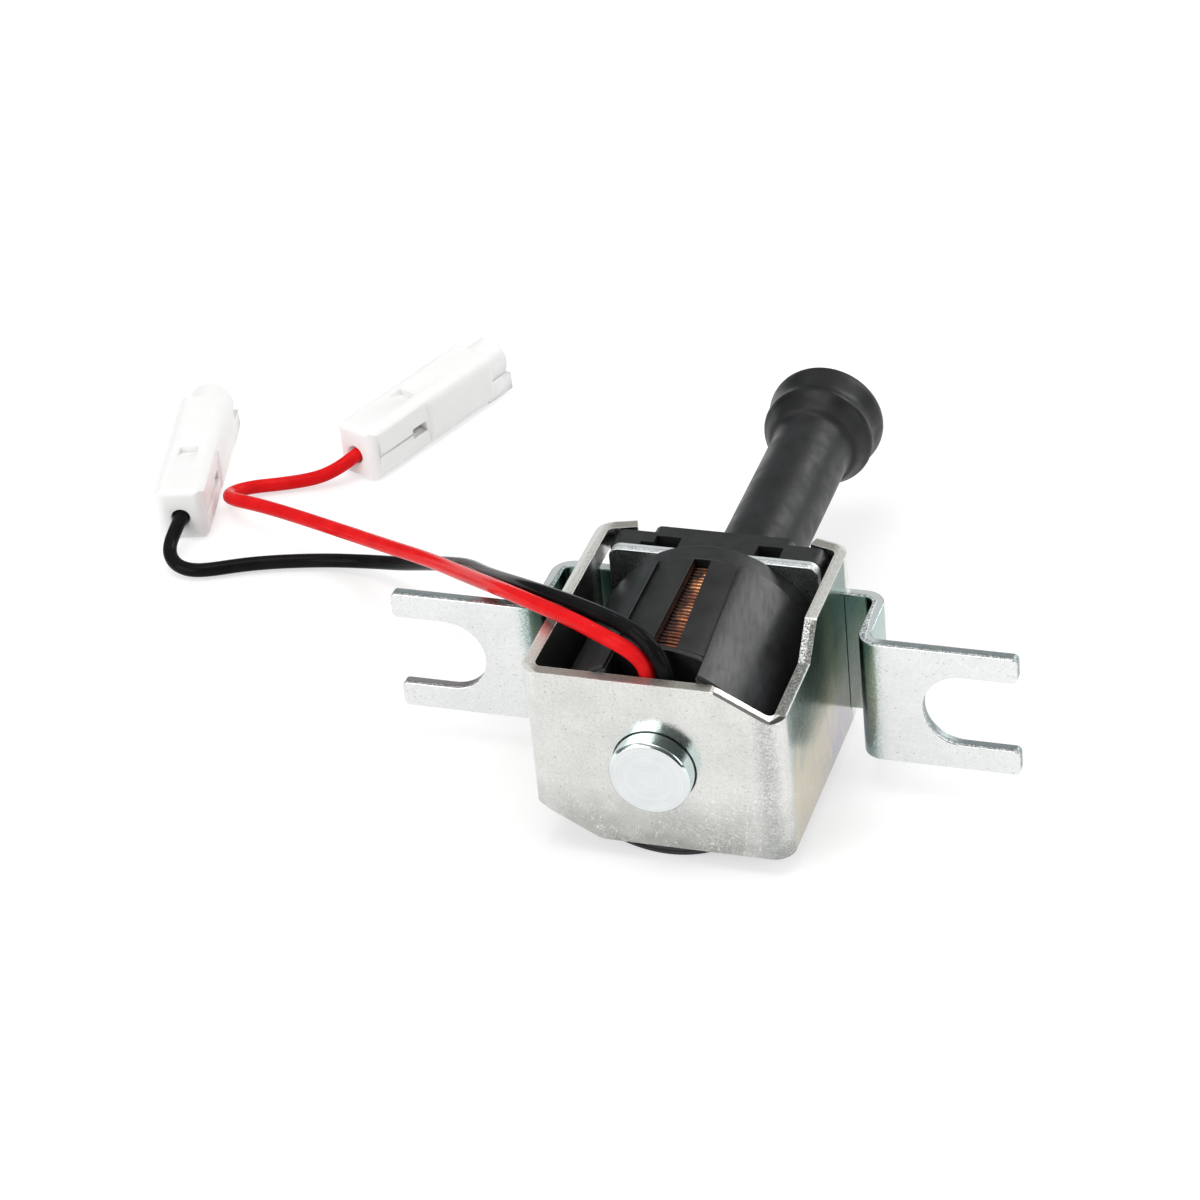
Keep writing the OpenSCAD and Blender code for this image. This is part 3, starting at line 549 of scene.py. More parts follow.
def satin_sheet(name, dark, pale, rough, sheen):
    """Satin insulating sheet: faint rub marks, fine tooth and a little dust."""
    p = Paint(name)
    cloud = p.noise(0.22, detail=3.0, rough=0.6, warp=0.5)
    tooth = p.noise(14.0)
    rub = p.noise(1.0, detail=1.0, vec=p.stretch(2.2, 0.10, 2.2, turn=(0.0, 0.0, 0.25)))
    dust = p.span(p.voronoi(1.15), 0.045, 0.028)
    keep = p.span(p.noise(0.33, detail=1.0), 0.52, 0.60)
    color = p.mix(p.span(cloud, 0.35, 0.66), dark, pale)
    color = p.mix(p.times(p.times(dust, keep), 0.25), color, SHEET_DUST)
    gloss = p.span(p.blend((cloud, 0.6), (rub, 0.4)), 0.36, 0.64, rough - 0.05, rough + 0.06)
    skin = p.bump(tooth, 0.006, under=p.bump(cloud, 0.02))
    return p.set(color=color, rough=gloss, spec=sheen, normal=skin)


RUBBER_TONES = ((0.006, 0.006, 0.0065), (0.016, 0.0165, 0.018))
RUBBER_DUST = (0.4, 0.4, 0.4)
HEAD_SHADE_TONE = (0.002, 0.002, 0.002)
HEAD_SHADE_Y = (38.0, 41.0)


def moulded_rubber(name):
    """Black rubber with cloudy bloom, a head darkened by painted shade and a little dust."""
    p = Paint(name)
    cloud = p.noise(0.30, detail=4.0, rough=0.6, warp=0.5)
    bloom = p.noise(0.13)
    tooth = p.noise(7.0, detail=3.0, rough=0.6)
    color = p.mix(p.span(p.blend((cloud, 0.5), (bloom, 0.5)), 0.38, 0.62), *RUBBER_TONES)
    # Painted shade: the boot's head is darker
    color = p.mix(p.span(p.y, *HEAD_SHADE_Y, 0.0, 0.8), color, HEAD_SHADE_TONE)
    dust = p.span(p.voronoi(0.9), 0.040, 0.02)
    keep = p.span(p.noise(0.25, detail=1.0), 0.54, 0.62)
    color = p.mix(p.times(p.times(dust, keep), 0.2), color, RUBBER_DUST)
    gloss = p.span(cloud, 0.36, 0.64, 0.36, 0.52)
    skin = p.bump(tooth, 0.010, under=p.bump(cloud, 0.05))
    return p.set(color=color, rough=gloss, spec=0.36, normal=skin)


def moulded_plastic(name, dark, pale, rough):
    """Satin moulded plastic."""
    p = Paint(name)
    cloud = p.noise(0.6, detail=3.0, rough=0.6)
    gloss = p.span(cloud, 0.3, 0.7, rough - 0.06, rough + 0.08)
    return p.set(color=p.mix(p.span(cloud, 0.35, 0.65), dark, pale), rough=gloss,
                 normal=p.bump(p.noise(10.0), 0.008))


def pvc(name, dark, pale, rough):
    """Extruded lead insulation: smooth, with a slightly uneven skin."""
    p = Paint(name)
    cloud = p.noise(0.25)
    skin = p.noise(1.3, rough=0.55)
    return p.set(color=p.mix(p.span(cloud, 0.35, 0.65), dark, pale), rough=rough, spec=0.04,
                 normal=p.bump(skin, 0.004))


NYLON_TONES = ((0.945, 0.94, 0.925), (0.965, 0.96, 0.95))


def nylon(name):
    """Natural nylon: even, pale and slightly translucent."""
    p = Paint(name)
    color = p.mix(p.span(p.noise(0.3), 0.35, 0.65), *NYLON_TONES)
    return p.set(color=color, rough=0.42, sss=0.3, sss_scale=0.0008, sss_radius=(1.0, 1.0, 1.0),
                 normal=p.bump(p.noise(8.0), 0.005))


# Materials
ZINC = zinc_sheet("zinc_sheet", (0.755, 0.75, 0.725), (0.615, 0.615, 0.595), (0.14, 0.26), wall_hues_and_shade)
STRAP = zinc_sheet("zinc_strap", (0.83, 0.84, 0.835), (0.725, 0.745, 0.74), (0.15, 0.26), strap_hues_and_shade)
PLATE = zinc_sheet("zinc_plate", (0.72, 0.76, 0.76), (0.58, 0.63, 0.63), (0.24, 0.38))
FLAKES = ((0.22, 0.24, 0.24), (0.90, 0.92, 0.92))
PALE_FLAKES = ((0.62, 0.65, 0.65), (0.98, 0.99, 0.99))
FRAME_EDGE = frame_edges("frame_edge")
STRAP_EDGE = sheared_edge("strap_edge", (0.38, 0.43, 0.435), FLAKES, broken_to=0.36, ragged_by=0.40)
PLATE_EDGE = sheared_edge("plate_edge", (0.93, 0.96, 0.96), PALE_FLAKES, broken_to=0.55, ragged_by=0.36)
TURNED = turned_steel("turned_steel")
SPRING = plain_metal("spring_wire", (0.34, 0.34, 0.35), (0.50, 0.50, 0.51), rough=0.3)
BRASS = plain_metal("brass", (0.62, 0.42, 0.17), (0.80, 0.60, 0.30), rough=0.28)
COPPER = copper_wire("copper_wire")
PAPER = varnished_paper("varnished_paper")
INNER_WRAP = satin_sheet("inner_wrap_sheet", (0.016, 0.016, 0.016), (0.025, 0.025, 0.025),
                         rough=0.36, sheen=0.25)
OUTER_WRAP = satin_sheet("outer_wrap_sheet", (0.014, 0.014, 0.015), (0.022, 0.022, 0.024),
                         rough=0.33, sheen=0.36)
PLASTIC = moulded_plastic("moulded_plastic", (0.007, 0.007, 0.008), (0.015, 0.015, 0.016), rough=0.42)
RUBBER = moulded_rubber("moulded_rubber")
RED_PVC = pvc("red_pvc", (0.70, 0.010, 0.012), (0.80, 0.014, 0.016), rough=0.13)
BLACK_PVC = pvc("black_pvc", (0.007, 0.007, 0.008), (0.011, 0.011, 0.012), rough=0.14)
NYLON = nylon("white_nylon")

# Points as near as this are welded, and faces within this many degrees are one flat face
WELD = 0.002
FLAT = 0.5


# Mesh helpers
def add(name, mesh, materials, body, slot, *nodes):
    """Puts a mesh into the scene as a piece of a body, in place of the CAD nodes."""
    ob = bpy.data.objects.new(name, mesh)
    scene.collection.objects.link(ob)
    for material in materials:
        mesh.materials.append(material)
    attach(ob, body)
    if nodes:
        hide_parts(*nodes)
    return ob


def soften(ob):
    """Shades flat faces flat and their rounded edges smooth."""
    ob.data.shade_smooth()
    mod = ob.modifiers.new("even_normals", "WEIGHTED_NORMAL")
    mod.weight = 60
    mod.keep_sharp = False
    return ob


def to_mesh(bm, name):
    mesh = bpy.data.meshes.new(name)
    bm.to_mesh(mesh)
    bm.free()
    return mesh


def outward(bm, name):
    """A closed mesh with its faces turned outwards."""
    bmesh.ops.recalc_face_normals(bm, faces=bm.faces)
    return to_mesh(bm, name)


def cad_shape(node):
    """The CAD node's own faces, welded, with its flat faces joined."""
    src = NODES[node]
    bm = bmesh.new()
    bm.from_mesh(src.data)
    bm.transform(src.matrix_world)
    bmesh.ops.remove_doubles(bm, verts=bm.verts, dist=WELD * MM)
    bmesh.ops.dissolve_limit(bm, angle_limit=math.radians(FLAT), verts=bm.verts, edges=bm.edges)
    return bm


def round_edges(bm, bevel, segments=2, angle=28.0, keep=None):
    """Rounds the sharp edges, or those of them that keep allows."""
    edges = []
    for e in bm.edges:
        if len(e.link_faces) == 2 and e.calc_face_angle(0.0) > math.radians(angle):
            if keep is None or keep(e):
                edges.append(e)
    bmesh.ops.bevel(bm, geom=edges, offset=bevel * MM, offset_type="OFFSET", segments=segments,
                    profile=0.5, affect="EDGES", clamp_overlap=True)


def from_cad(node, material, body, slot, bevel):
    """A piece in the CAD node's own shape, with its edges rounded."""
    bm = cad_shape(node)
    round_edges(bm, bevel)
    mesh = to_mesh(bm, node + "_skin")
    return soften(add(node + "_piece", mesh, [material], body, slot, node))


def on_axis(radius, station, angle):
    """Point at a station of the plunger's axis, in m."""
    z = AXIS_Z + radius * math.sin(angle)
    return Vector((radius * math.cos(angle), station + AXIS_Y, z)) * MM


def revolve(name, profile, steps, closed=False):
    """A body of revolution about the plunger's axis from (radius, station) pairs."""
    bm = bmesh.new()
    rings = []
    for radius, station in profile:
        if radius < TINY:
            rings.append([bm.verts.new(on_axis(0, station, 0))])
            continue
        angles = (2 * math.pi * k / steps for k in range(steps))
        rings.append([bm.verts.new(on_axis(radius, station, a)) for a in angles])
    pairs = list(zip(rings, rings[1:]))
    if closed:
        pairs.append((rings[-1], rings[0]))
    for a, b in pairs:
        for k in range(steps):
            q = (k + 1) % steps
            if len(a) == 1:
                bm.faces.new((a[0], b[q], b[k]))
            elif len(b) == 1:
                bm.faces.new((a[k], a[q], b[0]))
            else:
                bm.faces.new((a[k], a[q], b[q], b[k]))
    return outward(bm, name)


def catmull(points, per):
    """Dense points on a smooth line through the given ones."""
    out = []
    last = len(points) - 1
    for i in range(last):
        before = points[max(i - 1, 0)]
        start = points[i]
        end = points[i + 1]
        after = points[min(i + 2, last)]
        step = (end - start).length
        leave = (end - before) * (step / max(step + (start - before).length, TINY))
        arrive = (after - start) * (step / max((after - end).length + step, TINY))
        for k in range(per):
            t = k / per
            h_start = 2 * t**3 - 3 * t**2 + 1
            h_leave = t**3 - 2 * t**2 + t
            h_end = -2 * t**3 + 3 * t**2
            h_arrive = t**3 - t**2
            out.append(h_start * start + h_leave * leave + h_end * end + h_arrive * arrive)
    out.append(points[-1])
    return out


def relax(line, passes):
    """Evens out a dense line and keeps its ends."""
    for _ in range(passes):
        inner = [(a + 2 * b + c) / 4 for a, b, c in zip(line, line[1:], line[2:])]
        line = [line[0], *inner, line[-1]]
    return line


# Folded sheets
def both_sides(x, y, start, sweep, radii):
    """A bend on the right and its mirror image: middle, start and sweep in degrees, and radii."""
    return [(x, y, start, sweep, radii), (-x, y, (180 - start - sweep) % 360, sweep, radii)]


FRAME_RADII = (FRAME_R, FRAME_R_OUT)
FRAME_BENDS = (both_sides(CORNER_X, AXIS_Y + FRAME_R_OUT, 270, 90, FRAME_RADII)
               + both_sides(CORNER_X, AXIS_Y + TAB_BEND, 0, TAB_FOLD, FRAME_RADII))
STRAP_RADII = (STRAP_R, STRAP_R + SHEET)
WEB_BEND_X = LEG_X - STRAP_R
WEB_BEND = WEB_FRONT - STRAP_R
EAR_BEND = EAR_FRONT + SHEET + STRAP_R
OUTER_BEND_X = LEG_X + SHEET + STRAP_R
STRAP_BENDS = (both_sides(WEB_BEND_X, AXIS_Y + WEB_BEND, 0, 90, STRAP_RADII)
               + both_sides(OUTER_BEND_X, AXIS_Y + EAR_BEND, 180, 90, STRAP_RADII))
# How near a point of a bend lies to it, in mm and degrees, and the least width of a facet
BEND_SLACK = 0.12
ANGLE_SLACK = 2
FACET = 0.05
# A face that spans more than this share of the thickness is a cut edge
EDGE_SPAN = 0.2


def on_bend(co, bends):
    """The bend and the radius of a point that lies on one of the bends' round faces."""
    x = co.x / MM
    y = co.y / MM
    for cx, cy, start, sweep, radii in bends:
        turn = (math.degrees(math.atan2(y - cy, x - cx)) - start) % 360
        if sweep + ANGLE_SLACK < turn < 360 - ANGLE_SLACK:
            continue
        for r in radii:
            if abs(math.hypot(x - cx, y - cy) - r) < BEND_SLACK:
                return cx, cy, r
    return None


def round_bends(bm, bends, cuts=3):
    """Splits the coarse facets of the bends and sets their points on the true radius."""
    marks = {v: on_bend(v.co, bends) for v in bm.verts}
    arcs = []
    for e in bm.edges:
        a, b = e.verts
        across = math.hypot(a.co.x - b.co.x, a.co.y - b.co.y)
        if marks[a] is not None and marks[a] == marks[b] and across > FACET * MM:
            arcs.append(e)
    bmesh.ops.subdivide_edges(bm, edges=arcs, cuts=cuts, use_grid_fill=True)
    for v in bm.verts:
        hit = on_bend(v.co, bends)
        if hit is not None:
            cx, cy, r = hit
            dx = v.co.x - cx * MM
            dy = v.co.y - cy * MM
            scale = r * MM / math.hypot(dx, dy)
            v.co.x = cx * MM + dx * scale
            v.co.y = cy * MM + dy * scale


def share(through):
    """A distance through the sheet as a share of its thickness, from 0 to 1."""
    return min(1.0, max(0.0, through / SHEET))


def frame_depth(x, station):
    """0 on the frame's outer face, 1 on its inner face."""
    x = abs(x)
    if station < FRAME_R_OUT:
        if x < CORNER_X:
            return share(station)
        return share(FRAME_R_OUT - math.hypot(x - CORNER_X, station - FRAME_R_OUT))
    if station < TAB_BEND:
        return share(FRAME_HALF - x)
    dx = x - CORNER_X
    dy = station - TAB_BEND
    fold = math.radians(TAB_FOLD)
    if dx >= 0 and math.atan2(dy, dx) <= fold:
        return share(FRAME_R_OUT - math.hypot(dx, dy))
    return share(FRAME_R_OUT - (dx * math.cos(fold) + dy * math.sin(fold)))


def strap_depth(x, station):
    """0 on the web's front, the legs' inside and the ears' front."""
    x = abs(x)
    if x < WEB_BEND_X:
        return share(station - WEB_FRONT)
    if station > WEB_BEND:
        return share(math.hypot(x - WEB_BEND_X, station - WEB_BEND) - STRAP_R)
    if station > EAR_BEND:
        return share(x - LEG_X)
    if x < OUTER_BEND_X:
        return share(STRAP_R + SHEET - math.hypot(x - OUTER_BEND_X, station - EAR_BEND))
    return share(station - EAR_FRONT)


def plate_depth(x, station):
    """0 on the flux plate's front, 1 on its back."""
    return share(station - PLATE_FRONT)


def sheet_from_cad(node, face, edge, depth, bends=()):
    """A folded sheet: faces across the thickness get the material of cut edges."""
    bm = cad_shape(node)
    round_bends(bm, bends)
    round_edges(bm, bevel=0.14)
    mesh = to_mesh(bm, node + "_skin")
    values = [depth(v.co.x / MM, v.co.y / MM - AXIS_Y) for v in mesh.vertices]
    layer = mesh.attributes.new("depth", "FLOAT", "POINT")
    layer.data.foreach_set("value", values)
    for poly in mesh.polygons:
        depths = [values[i] for i in poly.vertices]
        poly.material_index = 1 if max(depths) - min(depths) > EDGE_SPAN else 0
    return soften(add(node + "_piece", mesh, [face, edge], HOUSING, "plated_steel", node))


sheet_from_cad("frame", ZINC, FRAME_EDGE, frame_depth, FRAME_BENDS)
sheet_from_cad("mounting_bracket", STRAP, STRAP_EDGE, strap_depth, STRAP_BENDS)
sheet_from_cad("flux_plate", PLATE, PLATE_EDGE, plate_depth)

# Pieces in their CAD shape: node, material, body, slot and bevel
PLAIN_PIECES = (
    ("fixed_core", TURNED, HOUSING, "turned_steel", 0.08),
    ("core_bumper", RUBBER, HOUSING, "black_rubber", 0.08),
    ("guide_tube", BRASS, HOUSING, "brass", 0.05),
    ("bobbin", PLASTIC, HOUSING, "black_plastic", 0.18),
    ("inner_wrap", INNER_WRAP, HOUSING, "grey_wrap", 0.10),
    ("outer_wrap", OUTER_WRAP, HOUSING, "black_wrap", 0.14),
    ("end_plate", PLASTIC, HOUSING, "black_plastic", 0.22),
    ("plunger", TURNED, PLUNGER, "turned_steel", 0.08),
    ("stop_washer", RUBBER, PLUNGER, "black_rubber", 0.08),
    ("red_splice", BRASS, HOUSING, "brass", 0.15),
    ("black_splice", BRASS, HOUSING, "brass", 0.15))
for piece in PLAIN_PIECES:
    from_cad(*piece)
red_terminal = from_cad("red_terminal", BRASS, HOUSING, "brass", 0.08)
black_terminal = from_cad("black_terminal", BRASS, HOUSING, "brass", 0.08)

# Plugs: where each starts and how it is turned, in degrees
RED_PLUG = ((-80.4, 43.5), -21.5)
BLACK_PLUG = ((-102.2, 20.2), 13.8)
# Sizes along a plug's own axes: x across, y from its lead to its nose, z up
PLUG_HALF = 4.6
PLUG_TOP = PLUG_HI.z
PLUG_SKIN = 1.8
NOSE_Y = 31.5
LEAD_Z = 4.4
LEAD_HOLE_R = 2.0
WINDOW_HALF = 1.8
WINDOW_Y = (10.9, 14.1)
GROOVE_X = 3.0
GROOVE_HALF = 1.2
GROOVE_END = 14.0
STEP_Y = (13.0, 14.2)
# Locking tongue in a plug's top window: its side view as (y, z), and half its width
LATCH_SIDE = ((11.15, 6.6), (11.15, 9.2), (13.85, 8.4), (13.85, 6.6))
LATCH_HALF = 1.55
LATCH_BEVEL = 0.15


def plug_place(at, turn):
    """Matrix from a plug's own axes to the shared frame, in m."""
    return Matrix.Translation(Vector((*at, 0)) * MM) @ Matrix.Rotation(math.radians(turn), 4, "Z")


def plug_from_cad(node, at, turn):
    """A plug housing: its outer edges are well rounded, those of its windows stay crisp."""
    bm = cad_shape(node)
    to_plug = plug_place(at, turn).inverted()

    def outer(e):
        mid = to_plug @ ((e.verts[0].co + e.verts[1].co) / 2) / MM
        skin = min(PLUG_HALF - abs(mid.x), mid.z, PLUG_TOP - mid.z)
        hole = math.hypot(mid.x, mid.z - LEAD_Z) < LEAD_HOLE_R
        window = abs(mid.x) < WINDOW_HALF and WINDOW_Y[0] < mid.y < WINDOW_Y[1]
        groove = mid.x > GROOVE_X and abs(mid.z - LEAD_Z) < GROOVE_HALF and mid.y < GROOVE_END
        step = STEP_Y[0] < mid.y < STEP_Y[1]
        return mid.y < NOSE_Y and skin < PLUG_SKIN and not (hole or window or groove or step)

    round_edges(bm, bevel=0.32, segments=3, angle=24.0, keep=outer)
    mesh = to_mesh(bm, node + "_skin")
    return soften(add(node + "_piece", mesh, [NYLON], HOUSING, "white_nylon", node))


def latch(name, at, turn):
    """Locking tongue in a plug's top window: a wedge that falls towards the plug's front."""
    bm = bmesh.new()
    left = [bm.verts.new(Vector((-LATCH_HALF, y, z)) * MM) for y, z in LATCH_SIDE]
    right = [bm.verts.new(Vector((LATCH_HALF, y, z)) * MM) for y, z in LATCH_SIDE]
    corners = len(LATCH_SIDE)
    for i in range(corners):
        j = (i + 1) % corners
        bm.faces.new((left[i], left[j], right[j], right[i]))
    bm.faces.new(left)
    bm.faces.new(right)
    bmesh.ops.recalc_face_normals(bm, faces=bm.faces)
    bmesh.ops.bevel(bm, geom=bm.edges[:], offset=LATCH_BEVEL * MM, segments=2, profile=0.5,
                    affect="EDGES")
    bm.transform(plug_place(at, turn))
    return soften(add(name, to_mesh(bm, name + "_skin"), [NYLON], HOUSING, "white_nylon"))


red_connector = plug_from_cad("red_connector", *RED_PLUG)
black_connector = plug_from_cad("black_connector", *BLACK_PLUG)
red_latch = latch("red_latch_piece", *RED_PLUG)
black_latch = latch("black_latch_piece", *BLACK_PLUG)

# Winding: one rounded ridge for each turn, each a little different
COIL_START = COIL_LO.y - AXIS_Y
COIL_END = COIL_HI.y - AXIS_Y
COIL_BORE = 8.70
COIL_R = 15.0
FLANK = 0.5
END_GAP = 0.02
TURNS = 27
SUNK_BY = 0.05
# Shade and crest of the points at both ends
PLAIN = (0.5, 0.0)
RIDGE_POINTS = 9
COIL_STEPS = 144
SEED = 7


def coil_profile():
    """Points of the winding's profile, each with its turn's shade and its height on the ridge."""
    rng = random.Random(SEED)
    half = (COIL_END - COIL_START) / TURNS / 2
    start = COIL_START + END_GAP
    end = COIL_END - END_GAP
    points = [(COIL_BORE, start, *PLAIN), (COIL_R - FLANK, start, *PLAIN)]
    for i in range(TURNS):
        sunk = abs(rng.gauss(0, SUNK_BY))
        shade = rng.random()
        for k in range(RIDGE_POINTS):
            a = math.pi * (k + 0.5) / RIDGE_POINTS
            radius = COIL_R - sunk - half + half * math.sin(a)
            station = COIL_START + half * (2 * i + 1 - math.cos(a))
            points.append((radius, station, shade, math.sin(a)))
    return points + [(COIL_R - FLANK, end, *PLAIN), (COIL_BORE, end, *PLAIN)]


def winding():
    """The copper winding, with its turns' shades as attributes."""
    points = coil_profile()
    mesh = revolve("winding_skin", [point[:2] for point in points], COIL_STEPS, closed=True)
    for column, label in ((2, "turn"), (3, "crest")):
        layer = mesh.attributes.new(label, "FLOAT", "POINT")
        layer.data.foreach_set("value", [point[column] for point in points for _ in range(COIL_STEPS)])
    mesh.shade_smooth()
    return add("winding_piece", mesh, [COPPER], HOUSING, "copper", "winding")


# Varnished paper under the inner wrap, seen as the left wall of its slot
PAPER_IN = 14.7
PAPER_OUT = 15.58
PAPER_RIGHT = -1.4
PAPER_LEFT = -6.0
PAPER_GAP = 0.05
PAPER_STEPS = 8


def slot_paper():
    """A curved strip whose right edge shows in the slot."""
    bm = bmesh.new()
    rows = []
    for k in range(PAPER_STEPS + 1):
        x = PAPER_RIGHT + (PAPER_LEFT - PAPER_RIGHT) * k / PAPER_STEPS
        angle = math.acos(x / PAPER_OUT)
        rows.append([bm.verts.new(on_axis(radius, station, angle))
                     for station in (COIL_START + PAPER_GAP, COIL_END - PAPER_GAP)
                     for radius in (PAPER_IN, PAPER_OUT)])
    for a, b in zip(rows, rows[1:]):
        for i, j in ((0, 1), (1, 3), (3, 2), (2, 0)):
            bm.faces.new((a[i], a[j], b[j], b[i]))
    for row in (rows[0], rows[-1]):
        bm.faces.new((row[0], row[1], row[3], row[2]))
    return add("slot_paper_piece", outward(bm, "slot_paper_skin"), [PAPER], HOUSING, "grey_wrap")


# Boot: a tube with a flared head, its corners rounded off
BOOT_START = 33.85
BOOT_R = 6.25
BOOT_BORE = 3.05
HEAD_R = BOOT_HI.x
TIP = BOOT_HI.y - AXIS_Y
HEAD_START = 84.6
START_IN = 0.15
START_OUT = 0.03
# Pocket for the rod's barb
BARB_BACK = 86.75
BARB_TIP = 89.85
BARB_R = 3.65
BARB_TIP_R = 2.6
# Corners of the outline, as added radius and distance behind the start of the head
NECK = ((0.0, -1.2), (0.04, -0.4), (0.18, 0.18), (0.45, 0.48), (0.9, 0.92))
HEAD = ((-1.1, 2.75), (-0.65, 3.45), (-0.46, 3.95), (-0.46, 4.3), (-0.54, 4.8), (-0.60, 5.4),
        (-0.55, 6.2), (-0.32, 7.3), (-0.10, 8.3), (-0.01, 8.9), (-0.05, 9.6), (-0.30, 10.15),
        (-0.75, 10.38))
CORNER_POINTS = 4
TIP_FLAT = 1.4
TIP_RING = 4.0
BOOT_STEPS = 160


def boot():
    """The rubber boot, hollow for the rod and its barb."""
    corners = [(BOOT_R, BOOT_START)]
    corners += [(BOOT_R + dr, HEAD_START + dy) for dr, dy in NECK]
    corners += [(HEAD_R + dr, HEAD_START + dy) for dr, dy in HEAD]
    skin = catmull([Vector((radius, station, 0)) for radius, station in corners], CORNER_POINTS)
    profile = [(0, BARB_TIP), (BARB_TIP_R, BARB_TIP), (BARB_R, BARB_BACK), (BOOT_BORE, BARB_BACK)]
    profile += [(BOOT_BORE, BOOT_START), (BOOT_R - START_IN, BOOT_START - START_OUT)]
    profile += [(point.x, point.y) for point in skin]
    profile += [(HEAD_R - TIP_FLAT, TIP), (TIP_RING, TIP), (0, TIP)]
    mesh = revolve("plunger_boot_skin", profile, BOOT_STEPS)
    mesh.shade_smooth()
    return add("plunger_boot_piece", mesh, [RUBBER], PLUNGER, "black_rubber", "plunger_boot")


# Return spring: a round wire; the real one shortens as the plunger goes in, this one keeps one length
SPRING_R = 2.6
SPRING_WIRE_R = 0.35
SPRING_START = 4.40
SPRING_END = 21.60
SPRING_TURNS = 8
SPRING_STEPS = 24
SPRING_SIDES = 10


def wound_spring():
    """The spring's wire, wound round the plunger's axis."""
    bm = bmesh.new()
    rings = []
    count = SPRING_TURNS * SPRING_STEPS
    for i in range(count + 1):
        a = 2 * math.pi * i / SPRING_STEPS
        station = SPRING_START + (SPRING_END - SPRING_START) * i / count
        ring = []
        for k in range(SPRING_SIDES):
            b = 2 * math.pi * k / SPRING_SIDES
            radius = SPRING_R + SPRING_WIRE_R * math.cos(b)
            ring.append(bm.verts.new(on_axis(radius, station + SPRING_WIRE_R * math.sin(b), a)))
        rings.append(ring)
    for a, b in zip(rings, rings[1:]):
        for k in range(SPRING_SIDES):
            q = (k + 1) % SPRING_SIDES
            bm.faces.new((a[k], a[q], b[q], b[k]))
    bm.faces.new(rings[0])
    bm.faces.new(rings[-1])
    mesh = outward(bm, "return_spring_skin")
    mesh.shade_smooth()
    return add("return_spring_piece", mesh, [SPRING], HOUSING, "spring_steel", "return_spring")


winding()
slot_paper()
boot()
spring = wound_spring()
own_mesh(spring)

# Leads, on the given routes of the CAD
RED_ROUTE = [
    (-0.9, -42.8, 29), (-0.9, -42.8, 30.4), (-1.2, -42.8, 31.7), (-1.9, -42.8, 32.9),
    (-2.9, -42.8, 33.9), (-4.2, -42.7, 34.7), (-6.1, -42.2, 35.2), (-8.6, -40.9, 35.3),
    (-11.4, -38.9, 34.9), (-14.7, -36.5, 34.2), (-18.4, -33.8, 33.3), (-22.8, -30.5, 32.1),
    (-28.1, -25.6, 29.8), (-34, -19.2, 26.3), (-40.2, -12.2, 22.4), (-47.4, -4.4, 18.4),
    (-53.7, 0.8, 15.8), (-60.2, 5.9, 13.2), (-66.8, 10.9, 10.9), (-73.7, 15.6, 8.8), (-80.9, 20, 7.1),
    (-88.4, 24, 5.6), (-91.8, 25.5, 5), (-94, 26.4, 4.6), (-96, 27.5, 4.1), (-97.6, 29.2, 3.3),
    (-98.2, 31.4, 2.5), (-97.7, 33.6, 1.8), (-96.2, 35.4, 1.4), (-94.1, 36.6, 1.2), (-91.9, 37.4, 1.2),
    (-88.2, 38.8, 1.4), (-85.9, 39.7, 1.7), (-83.8, 40.5, 2.5), (-81.9, 41.7, 3.4), (-80.5, 43.4, 4.2),
    (-79.6, 45.4, 4.4), (-78.9, 47.2, 4.4)]
BLACK_ROUTE = [
    (1.8, -42.8, 29), (1.8, -42.8, 30.4), (1.5, -42.7, 31.9), (0.8, -42.5, 33.4), (-0.3, -42, 34.7),
    (-1.9, -41.3, 35.6), (-3.9, -40.3, 36.1), (-6.2, -38.9, 36.1), (-8.8, -37.2, 35.7),
    (-11.8, -35.1, 35), (-15.1, -32.9, 34.2), (-18.8, -30.3, 33.1), (-23.4, -26.7, 31.4),
    (-28.9, -20.9, 28), (-34.2, -14.4, 24), (-38.8, -8.4, 20.4), (-42.1, -3.2, 17.5), (-47.5, 2.3, 13.6),
    (-53, 7.6, 9.6), (-59.1, 12.2, 5.8), (-62.2, 14.1, 4.2), (-65.6, 15.8, 2.9), (-69.3, 16.9, 1.9),
    (-73.3, 17.2, 1.4), (-77.2, 16.9, 1.2), (-85.6, 14.9, 1.2), (-90.5, 12.8, 1.2), (-92.7, 11.7, 1.2),
    (-94.9, 10.8, 1.2), (-97.3, 10.4, 1.2), (-99.6, 11, 1.5), (-101.3, 12.6, 2), (-102.2, 14.7, 2.6),
    (-102.2, 16.9, 3.4), (-102.2, 19.2, 4.1), (-102.5, 21.6, 4.4), (-103.2, 24.1, 4.4)]
LEAD_D = 2.3
POINTS_BETWEEN = 6
RELAX_PASSES = 24


def lead(name, route, material, node):
    """A round lead along its route; returns the piece, its line and its length."""
    line = relax(catmull([Vector(point) * MM for point in route], POINTS_BETWEEN), RELAX_PASSES)
    curve = bpy.data.curves.new(name, "CURVE")
    curve.dimensions = "3D"
    curve.bevel_depth = LEAD_D / 2 * MM
    curve.bevel_resolution = 6
    curve.use_fill_caps = True
    curve.materials.append(material)
    spline = curve.splines.new("POLY")
    spline.use_smooth = True
    spline.points.add(len(line) - 1)
    for point, co in zip(spline.points, line):
        point.co = (*co, 1.0)
    ob = bpy.data.objects.new(name, curve)
    scene.collection.objects.link(ob)
    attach(ob, HOUSING)
    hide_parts(node)
    length = sum((b - a).length for a, b in zip(line, line[1:]))
    return ob, line, length


red_lead, red_line, red_length = lead("red_lead_piece", RED_ROUTE, RED_PVC, "red_lead")
black_lead, black_line, black_length = lead("black_lead_piece", BLACK_ROUTE, BLACK_PVC,
                                            "black_lead")

